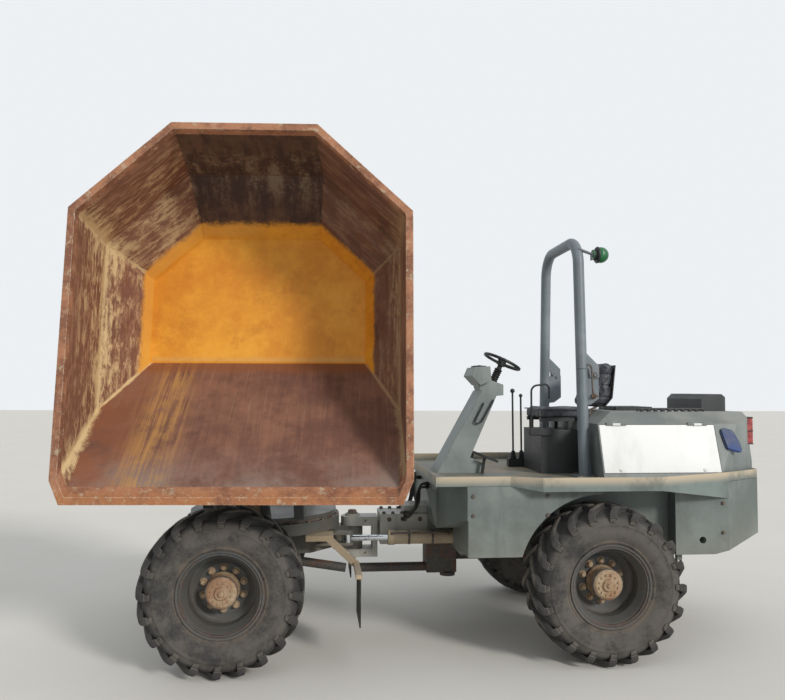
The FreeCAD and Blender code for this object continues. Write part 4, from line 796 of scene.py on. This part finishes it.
def on_wheel(x, side, y, radius, angle=0.0):
    """A point of the wheel at x: y outward from its middle, radius from its axle."""
    return at(x + radius * math.sin(angle), side * (WHEEL_Y + y), TYRE_R + radius * math.cos(angle))


def make_tyre(name, x, side):
    """A tyre with a smooth carcass, rings on its wall and two rows of swept lugs with rounded shoulders."""
    tread = TYRE_R - LUG_HEIGHT
    wall = [
        (161, 257), (161, 284), (166, 290), (172, 296), (174, 302), (171, 306), (176, 314), (183, 326),
        (189, 338), (194, 352), (197, 368), (198, 384), (198, 400), (196, 412), (199, 416), (199, 422),
        (195, 426), (191, 440), (184, 456), (174, 470), (160, 482), (140, 491), (112, 498), (70, tread - 2),
        (25, tread),
    ]
    outline = wall + [(-y, r) for y, r in reversed(wall)]
    bm = bmesh.new()
    rings = [[on_wheel(x, side, y, r, a) for y, r in outline] for a in circle(TREAD_SEGMENTS)]
    add_rings(bm, rings, loop=True)

    # a lug's stations: y, share of the sweep, top radius, width in degrees
    stations = (
        (-14, -0.02, 534.0, 4.9), (-8, 0.0, 537.4, 5.0), (30, 0.18, 537.4, 4.9), (75, 0.42, 536.8, 4.9),
        (115, 0.64, 535.4, 5.0), (150, 0.80, 532.0, 5.2), (176, 0.92, 525.0, 5.5), (190, 0.98, 516.0, 5.7),
        (197, 1.01, 502.0, 5.7), (199.6, 1.03, 480.0, 5.3), (199.8, 1.04, 462.0, 4.7),
        (197, 1.04, 450.0, 4.3),
    )
    dice = random.Random(7)
    for pair in range(LUG_PAIRS):
        for row in (1, -1):
            base = 360.0 / LUG_PAIRS * (pair + (0.5 if row < 0 else 0.0))
            worn = dice.uniform(0.0, 1.2)
            rings = []
            for y, share, top, wide in stations:
                root = min(tread - 14, top - 16)
                half = [(0.56, root), (0.47, top - 5), (0.41, top - 1.2), (0.3, top)]
                ring = []
                for shift, r in [(-shift, r) for shift, r in half] + half[::-1]:
                    turn = math.radians(base + LUG_SWEEP_DEG * share + shift * wide)
                    ring.append(on_wheel(x, side, row * y, r - worn * (r > root), turn))
                rings.append(ring)
            add_rings(bm, rings)
    obj = make_piece("tread_" + name, bm, TYRE_RUBBER, "wheel_" + name, 50.0)
    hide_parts("tyre_" + name)


def make_wheel_trim(name, x, side):
    """Nuts on the studs, bolts round the hub's cap, its plug, its ring and the valve."""
    out = Vector((0, side, 0))
    bm = bmesh.new()
    for k, a in enumerate(circle(STUD_COUNT)):
        add_hex(bm, on_wheel(x, side, STUD_Y, STUD_CIRCLE_R, a), out, 36, 20, turn=k * 0.7)
    for k, a in enumerate(circle(CAP_BOLT_COUNT, 0.5)):
        add_hex(bm, on_wheel(x, side, HUB_FACE_Y, CAP_BOLT_CIRCLE_R, a), out, 13, 8, turn=k * 0.9)
    add_hex(bm, on_wheel(x, side, HUB_FACE_Y + 16, 0), out, 30, 12)
    make_piece("nuts_" + name, bm, HUB_METAL, "wheel_" + name)
    bm = bmesh.new()
    ring = [(-16, 99.5), (-16, 106), (-30, 106), (-30, 99.5), (-16, 99.5)]
    add_turned(bm, on_wheel(x, side, HUB_FACE_Y, 0), out, ring, 48)
    stem = at(x - 150, side * (WHEEL_Y + 20), TYRE_R + 188)
    add_tube(bm, [stem, stem + out * mm(45), stem + out * mm(46)], [5, 4.5, 3])
    make_piece("hub_ring_" + name, bm, BOLT_METAL, "wheel_" + name)


def make_bolts():
    """Bolts on the rear body, a piece for each row, and those round the turntable."""
    sides = (1, -1)
    up = (0, 0, 1)
    # slot, axis, across, height, places
    rows = [
        ("frame_paint", (0, s, 0), 20, 11,
         [(x, s * HULL_Y, z) for x in (-380, -900) for z in (1130, 1000)]
         + [(-2260, s * TAIL_Y, z) for z in (830, 1040)])
        for s in sides
    ]
    rows.append(("cast", up, 24, 14, [(x, y, 890.2) for x in (20, 90, 160) for y in (-135, 135)]))
    rows += [
        ("cast", (0, s, 0), 24, 14, [(x, s * GEARBOX_Y, z) for x in (-120, 0, 120) for z in (700, 850)])
        for s in sides
    ]
    rows += [
        ("frame_paint", up, 20, 11,
         [(x, s * (519 + o), 1220) for x in (-1365, -1270) for s in sides for o in (-58, 58)]),
        ("frame_paint", up, 14, 8, [(x, s * 140, 1206) for x in (-290, -560) for s in sides]),
        ("frame_paint", (0, 0, -1), 24, 14,
         [(-AXLE_X + o, s * (420 + p), 560) for o in (-60, 60) for s in sides for p in (-40, 40)]),
    ]
    for number, (slot, axis, across, height, places) in enumerate(rows):
        bm = bmesh.new()
        for k, place in enumerate(places):
            add_hex(bm, at(*place), axis, across, height, turn=k * 0.6)
        make_piece(f"bolts_{number}", bm, BOLT_METAL)

    bm = bmesh.new()
    for a in circle(TURN_BOLT_COUNT, 0.5):
        x, y = TURN_BOLT_CIRCLE_R * math.cos(a), TURN_BOLT_CIRCLE_R * math.sin(a)
        add_hex(bm, at(TURN_X + x, y, 885), up, 18, 9, turn=a)
    for s in sides:
        for k in range(4):
            add_hex(bm, at(TURN_X - 40 + 90 * k, s * 340.2, 700), (0, s, 0), 22, 12, turn=k)
    make_piece("table_bolts", bm, BOLT_METAL, body="front_frame")


WHEELS = (
    ("front_left", AXLE_X, 1),
    ("front_right", AXLE_X, -1),
    ("rear_left", -AXLE_X, 1),
    ("rear_right", -AXLE_X, -1),
)
for wheel in WHEELS:
    make_tyre(*wheel)
    make_wheel_trim(*wheel)
make_bolts()


# Skip

def skip_place(v, w, d):
    """A point of the skip from its own measures: along the rim, across and down."""
    lip, along, across, down = skip_axes()
    return lip + (along * v + across * w + down * d) / 1000


def make_skip_seams():
    """Weld beads along the skip's inner folds."""
    a0, b0, c0, d0 = RIM_INNER
    a1, c1, d1 = RING
    a2, c2, d2 = FLOOR
    runs = [(a1, a2), (c1, c2), (d1, d2), (a2, c2), (c2, d2), (a1, c1), (c1, d1)]
    runs += [(a0, a1), (b0, a1), (c0, c1), (d0, d1)]
    runs += [((v0, -w0, e0), (v1, -w1, e1)) for (v0, w0, e0), (v1, w1, e1) in runs]
    runs += [(end, (end[0], -end[1], end[2])) for end in (d2, a2, d1)]
    dice = random.Random(3)
    bm = bmesh.new()
    for one, two in runs:
        start, end = skip_place(*one), skip_place(*two)
        count = max(4, int((end - start).length / 0.012))
        pull = (skip_place(1300, 0, 300) - start).normalized() * 0.0005
        points = [start.lerp(end, k / count) + pull for k in range(count + 1)]
        add_tube(bm, points, [dice.uniform(3.0, 4.6) for point in points], 7)
    make_piece("skip_seams", bm, SKIP_STEEL, "skip", 60.0)


def make_rim_welds():
    """Weld beads outside, under the rim bar."""
    bm = bmesh.new()
    under_bar = 59.0
    for s in (1, -1):
        for (v0, w0), (v1, w1) in zip(RIM_OUTER, RIM_OUTER[1:]):
            start, end = skip_place(v0, s * w0, under_bar), skip_place(v1, s * w1, under_bar)
            add_tube(bm, [start.lerp(end, t) for t in (0.01, 0.25, 0.5, 0.75, 0.99)], 5, 7)
    make_piece("rim_welds", bm, SKIP_STEEL, "skip", 60.0)


make_skip_seams()
make_rim_welds()


# Trim

def make_hoop_trim():
    """The hoop's lock rods with their bent ends, bolt heads at the hinge and the beacon's base."""
    bm = bmesh.new()
    for s in (1, -1):
        y = s * 492
        rod = [(-1352, 2052), (-1372, 2052), (-1385, 2030), (-1392, 1850), (-1400, 1822), (-1430, 1815)]
        points = [at(x, y + s * 16, z) for x, z in rod] + [at(-1434, y, 1814)]
        add_tube(bm, bent(points, 14), 7)
    make_piece("hoop_lock_rods", bm, BOLT_METAL)
    bm = bmesh.new()
    for s in (1, -1):
        for x, z, across in ((-1420, 1974, 34), (-1415, 1814, 30)):
            add_hex(bm, at(x, s * 475, z), (0, -s, 0), across, 14)
    make_piece("hoop_bolts", bm, BOLT_METAL)
    bm = bmesh.new()
    profile = [(22, 57), (22, 64), (30, 65), (36, 60), (36, 42), (58, 42), (58, 20)]
    add_turned(bm, at(-1500, 410, 2910), (1, 0, 0), profile, 40)
    make_black("beacon_base", bm, "hoop")


def make_console_trim():
    """The loop on the console's side, and dials with their rings and two switches on the dash."""
    bm = bmesh.new()
    loop = route((-622, 170, 1752), (-622, 188, 1752), (-548, 188, 1606), (-566, 188, 1590),
                 (-604, 188, 1604), (-700, 188, 1776), (-700, 170, 1776))
    add_tube(bm, bent(loop, 22), 6)
    make_black("console_loop", bm)

    top = Vector((-0.055, 0, 1)).normalized()
    dials = ((-95, 40), (0, 46), (95, 40))
    bm = bmesh.new()
    for y, r in dials:
        add_turned(bm, at(-622, y, 2041.5), top, [(0, r + 4), (8, r + 4), (10, r), (6, r - 2)], 36)
    for y in (-140, 140):
        add_hex(bm, at(-600, y, 2041), top, 16, 12)
    make_black("dash_rings", bm)
    bm = bmesh.new()
    for y, r in dials:
        centre = at(-622, y, 2047.5)
        add_turned(bm, centre, top, [(0, r - 2), (0.6, r - 2), (0.6, 0)], 36)
        needle = centre + top * mm(1.5)
        ahead = Vector((0.6, 0.5 if y >= 0 else -0.5, 0)).normalized()
        add_tube(bm, [needle - ahead * mm(6), needle + ahead * mm(r - 14)], 1.2, 6)
    make_piece("dash_faces", bm, DIAL_FACE)


def make_steering_trim():
    """The pleated boot round the steering column and the finger grip of the wheel."""
    wheel = at(-817, 0, 2089)
    tilt = math.radians(COLUMN_TILT_DEG)
    up = Vector((-math.sin(tilt), 0, math.cos(tilt)))
    bm = bmesh.new()
    add_turned(bm, wheel, up, [(-175 + 9 * k, 34 if k % 2 else 27) for k in range(13)], 28)
    add_turned(bm, wheel, up, [(4, 36), (8, 30), (10, 0)], 28)
    make_black("column_boot", bm)
    bm = bmesh.new()
    side = Vector((0, 1, 0))
    ahead = up.cross(side)
    points = [wheel + (side * math.cos(a) + ahead * math.sin(a)) * mm(150) for a in circle(72)]
    add_tube(bm, points, [12.8 if k % 3 else 11.8 for k in range(72)], 12, loop=True)
    make_black("wheel_grip", bm)


def make_controls():
    """Boots on the levers, the black loop beside the seat and ribbed pads on the pedals."""
    bm = bmesh.new()
    profile = [(7 * k, (34 if k % 2 else 27) - 1.6 * k) for k in range(10)]
    for foot in route((-985, -300, 1275), (-1065, -330, 1275)):
        add_turned(bm, foot, (0, 0, 1), profile)
    make_black("lever_boots", bm)
    bm = bmesh.new()
    loop = [(-985, 1560), (-985, 1862), (-1010, 1892), (-1105, 1906), (-1128, 1880), (-1128, 1790)]
    add_tube(bm, bent([at(x, 262, z) for x, z in loop], 30), 8, 12)
    add_block(bm, at(-1150, 250.2, 1500), at(-965, 275, 1562), 6)
    make_black("side_handle", bm)
    bm = bmesh.new()
    run = Vector((120, 0, 45)).normalized()
    above = Vector((-run.z, 0, run.x)) * mm(2)
    for y in (-250.0, 215.0):
        for k in range(7):
            ends = [at(-714 + 17 * k, y + half, 1308 + 6.4 * k) + above for half in (-36, 36)]
            add_tube(bm, ends, 3.2, 6)
    make_black("pedal_ribs", bm)


def make_cover_trim():
    """Latches on the service doors, the dark filler flap and a rubber rail along the hood's edge."""
    slope = (COVER_FOOT_Y - COVER_TOP_Y) / (COVER_TOP_Z - DECK_Z)

    def side_y(z):
        return COVER_FOOT_Y - (z - DECK_Z) * slope

    for s, word in ((1, "left"), (-1, "right")):
        bm = bmesh.new()
        out = Vector((0, s, slope * 0.9)).normalized()
        reach = Vector((mm(8), 0, 0))
        for x in (-1520, -2160):
            z = 1276
            centre = at(x, s * (side_y(z) + 0.5), z)
            add_turned(bm, centre, out, [(0, 13), (2, 13), (3, 11), (3.5, 11)], 28)
            wing = centre + out * mm(4)
            add_tube(bm, [wing - reach, wing + reach], 2, 8)
        make_piece("door_latches_" + word, bm, WHITE_PAINT, "door_" + word)
    bm = bmesh.new()
    flap = [(-2338, 1470), (-2350, 1420), (-2446, 1392), (-2470, 1410), (-2462, 1468), (-2420, 1560),
            (-2345, 1577), (-2322, 1560)]
    add_plate(bm, [at(x, side_y(z) - 4, z) for x, z in flap], 22, 8)
    make_piece("filler_flap", bm, BLUE_PLASTIC)
    bm = bmesh.new()
    rail = [(-1760, 1700), (-1775, 1716), (-2010, 1716), (-2285, 1716), (-2300, 1700)]
    add_tube(bm, bent([at(x, 452, z) for x, z in rail], 12), 9)
    for k in range(9):
        x = -1800 - 55 * k
        add_block(bm, at(x - 14, 438, 1697), at(x + 14, 466, 1712))
    make_black("hood_rail", bm)


def make_lamp_trim():
    """Bezels over, under and across the middle of each tail lamp."""
    for word in ("left", "right"):
        low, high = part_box("tail_lamp_" + word)
        mid = (low.z + high.z) / 2
        bm = bmesh.new()
        for under, over in ((mid - 0.004, mid + 0.004), (low.z - 0.001, low.z + 0.008),
                            (high.z - 0.008, high.z + 0.002)):
            add_block(bm, (low.x - 0.002, low.y - 0.004, under), (high.x - 0.006, high.y + 0.004, over), 1.5)
        make_piece("lamp_bezel_" + word, bm, BLACK_PLASTIC)


def make_grease_points():
    bm = bmesh.new()
    for x, y, z in ((400, 0, 875), (300, 91, 830), (300, 91, 585)):
        axis = Vector((0, 1, 0) if y else (0, 0, 1))
        add_hex(bm, at(x, y, z), axis, 12, 8, washer=False)
        add_turned(bm, at(x, y, z) + axis * mm(8), axis, [(0, 3), (8, 3.6), (11, 2)], 12)
    add_hex(bm, at(400, 0, 875), (0, 0, 1), 60, 24)
    make_piece("grease_points", bm, BOLT_METAL)


def make_lines():
    """Steel lines with their unions on the hull's front, and one clamped along the steering ram."""
    lines = [
        [(-178, 205, 1130), (-130, 205, 1130), (-112, 205, 1100), (-108, 200, 980), (-70, 150, 905),
         (10, 150, 897)],
        [(-178, 235, 1130), (-120, 235, 1130), (-98, 232, 1090), (-92, 215, 975), (-55, 166, 905),
         (10, 168, 880)],
        [(-178, 265, 1110), (-110, 265, 1110), (-84, 258, 1070), (-78, 235, 960), (-40, 172, 870),
         (30, 170, 850)],
    ]
    lines += [[(x, -y, z) for x, y, z in line] for line in lines[:2]]
    bm = bmesh.new()
    for line in lines:
        points = route(*line)
        add_tube(bm, bent(points, 40), 9)
        for end, before in ((points[0], points[1]), (points[-1], points[-2])):
            add_hex(bm, end, before - end, 26, 26, washer=False)
    make_piece("front_lines", bm, FLAP_RUBBER)

    start = at(-420, 265, 730)
    along = (at(450, 250, 730) - start).normalized()
    side = Vector((0.12, 0.75, 0.65)).normalized()
    line = [start + along * mm(t) + side * mm(off) for t, off in ((95, 58), (150, 66), (480, 66), (520, 60))]
    band = [(-9, 50), (-9, 53), (9, 53), (9, 50), (-9, 50)]
    bm = bmesh.new()
    add_tube(bm, bent(line, 30), 8)
    for t in (95, 525):
        add_hex(bm, start + along * mm(t) + side * mm(44), side, 24, 18, washer=False)
    for t in (220, 400):
        add_turned(bm, start + along * mm(t), along, band, 32)
    make_piece("ram_line", bm, BOLT_METAL, "steer_barrel")


make_hoop_trim()
make_console_trim()
make_steering_trim()
make_controls()
make_cover_trim()
make_lamp_trim()
make_grease_points()
make_lines()


# Padded seat

def apply_modifiers(obj):
    graph = bpy.context.evaluated_depsgraph_get()
    mesh = bpy.data.meshes.new_from_object(obj.evaluated_get(graph))
    obj.modifiers.clear()
    obj.data = mesh
    return mesh


def swell(obj, cap):
    """Fills a closed form out like foam under vinyl: no point moves further than cap."""
    bpy.context.view_layer.objects.active = obj
    remesh = obj.modifiers.new("remesh", "REMESH")
    remesh.mode = "VOXEL"
    remesh.voxel_size = 0.006
    bpy.context.view_layer.update()
    start = [v.co.copy() for v in apply_modifiers(obj).vertices]
    cloth = obj.modifiers.new("cloth", "CLOTH")
    cloth.settings.quality = 6
    cloth.settings.mass = 0.3
    cloth.settings.use_pressure = True
    cloth.settings.uniform_pressure_force = 4.0
    cloth.settings.effector_weights.gravity = 0
    cloth.point_cache.frame_start = 1
    cloth.point_cache.frame_end = 20
    scene = bpy.context.scene
    for number in range(1, 21):
        scene.frame_set(number)
    swollen = apply_modifiers(obj)
    scene.frame_set(1)
    for vert, before in zip(swollen.vertices, start):
        move = vert.co - before
        if move.length > cap:
            vert.co = before + move * (cap / move.length)


def make_pad(name, node, profile, half, channels, axis):
    """A cushion from a side profile, with sewn channels pressed in across an axis, in place of a node."""
    inset = 12.0
    middle_x = sum(x for x, z in profile) / len(profile)
    middle_z = sum(z for x, z in profile) / len(profile)
    shrunk = []
    for x, z in profile:
        out = Vector((x - middle_x, z - middle_z))
        out *= 1 - inset / out.length
        shrunk.append((middle_x + out.x, middle_z + out.y))
    bm = bmesh.new()
    add_rings(bm, [[at(x, y, z) for x, z in shrunk] for y in (inset - half, half - inset)])
    bmesh.ops.recalc_face_normals(bm, faces=bm.faces)
    bmesh.ops.bevel(bm, geom=list(bm.edges), offset=0.016, segments=3, affect="EDGES", clamp_overlap=True)
    obj = make_piece(name, bm, SEAT_VINYL, sharp_deg=180.0)
    swell(obj, 0.012)
    for vert in obj.data.vertices:
        local = (vert.co - ORIGIN) * 1000
        press = sum(6.5 * math.exp(-((local[axis] - line) / 7.0) ** 2) for line in channels)
        wrinkle = noise.noise(local / 60.0) * 1.4
        centre = Vector((middle_x, local.y * 0.75, middle_z))
        vert.co += (centre - local).normalized() * (press + wrinkle) / 1000
    smooth = obj.modifiers.new("smooth", "SUBSURF")
    smooth.levels = 1
    smooth.render_levels = 1
    for face in apply_modifiers(obj).polygons:
        face.use_smooth = True
    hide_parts(node)


def make_seat_trim():
    """Piping round the cushion, the back's shell and the brackets that carry it."""
    bm = bmesh.new()
    half = [(-1062, 216), (-1100, 228), (-1400, 228), (-1440, 222)]
    edge = [half[0]] + [(x, -y) for x, y in half] + half[:0:-1]
    edge = [at(x, y, 1706) for x, y in edge]
    path = [one.lerp(two, j / 6) for one, two in zip(edge, edge[1:] + edge[:1]) for j in range(6)]
    add_tube(bm, path, 4.5, 8, loop=True)
    make_piece("cushion_piping", bm, SEAT_VINYL, sharp_deg=80.0)
    bm = bmesh.new()
    shell = [(-1604, 1735), (-1662, 1800), (-1692, 2060), (-1700, 2060), (-1672, 1796), (-1612, 1728)]
    add_rings(bm, [[at(x, y, z) for x, z in shell] for y in (-196, 196)])
    make_black("back_shell", bm)
    bm = bmesh.new()
    for y in (160, -160):
        add_block(bm, at(-1500, y - 22, 1626), at(-1440, y + 22, 1700), 4)
        post = route((-1470, y, 1690), (-1560, y, 1730), (-1660, y, 1790), (-1690, y, 1990))
        add_tube(bm, bent(post, 40), 9)
    make_piece("back_brackets", bm, BOLT_METAL)


CUSHION = [(-1060, 1642), (-1395, 1642), (-1495, 1700), (-1498, 1712), (-1400, 1716), (-1240, 1712),
           (-1090, 1716), (-1056, 1700)]
BACK = [(-1466, 1722), (-1520, 1880), (-1578, 2078), (-1602, 2100), (-1662, 2096), (-1686, 2068),
        (-1672, 1920), (-1656, 1790), (-1602, 1722)]
make_pad("cushion", "seat_cushion", CUSHION, 233.0, (-118.0, 0.0, 118.0), 1)
make_pad("back_rest", "seat_back", BACK, 218.0, (1800.0, 1895.0, 1990.0), 2)
make_seat_trim()


# Floor and light

def make_floor():
    mesh = bpy.data.meshes.new("floor")
    corners = [(x * FLOOR_HALF, y * FLOOR_HALF, 0) for x, y in ((-1, -1), (1, -1), (1, 1), (-1, 1))]
    mesh.from_pydata(corners, [], [(0, 1, 2, 3)])
    floor = bpy.data.objects.new("floor", mesh)
    bpy.context.scene.collection.objects.link(floor)
    g = Graph("floor", 0.9)
    mesh.materials.append(g.done(g.mix(g.span(g.noise(0.8, 3), 0.3, 0.7), "d8d5ce", "dbd8d2")))


def make_sky():
    """A pale sky, at one strength as light and at another where it is seen or mirrored."""
    world = bpy.data.worlds.new("world")
    world.use_nodes = True
    nodes, links = world.node_tree.nodes, world.node_tree.links
    nodes["Background"].inputs["Color"].default_value = SKY_COLOUR
    path = nodes.new("ShaderNodeLightPath")
    seen = nodes.new("ShaderNodeMath")
    links.new(path.outputs["Is Camera Ray"], seen.inputs[0])
    links.new(path.outputs["Is Glossy Ray"], seen.inputs[1])
    level = nodes.new("ShaderNodeMapRange")
    links.new(seen.outputs[0], level.inputs["Value"])
    level.inputs["To Min"].default_value = SKY_LIGHT
    level.inputs["To Max"].default_value = SKY_SEEN
    links.new(level.outputs[0], nodes["Background"].inputs["Strength"])
    bpy.context.scene.world = world


def make_sun():
    sun = bpy.data.lights.new("sun", "SUN")
    sun.energy = SUN_ENERGY
    sun.angle = math.radians(SUN_WIDTH_DEG)
    sun.color = SUN_COLOUR
    lamp = bpy.data.objects.new("sun", sun)
    lamp.rotation_euler = Vector(SUN_TOWARD).to_track_quat("Z", "Y").to_euler()
    bpy.context.scene.collection.objects.link(lamp)


make_floor()
make_sky()
make_sun()
bpy.context.scene.view_settings.view_transform = "Standard"
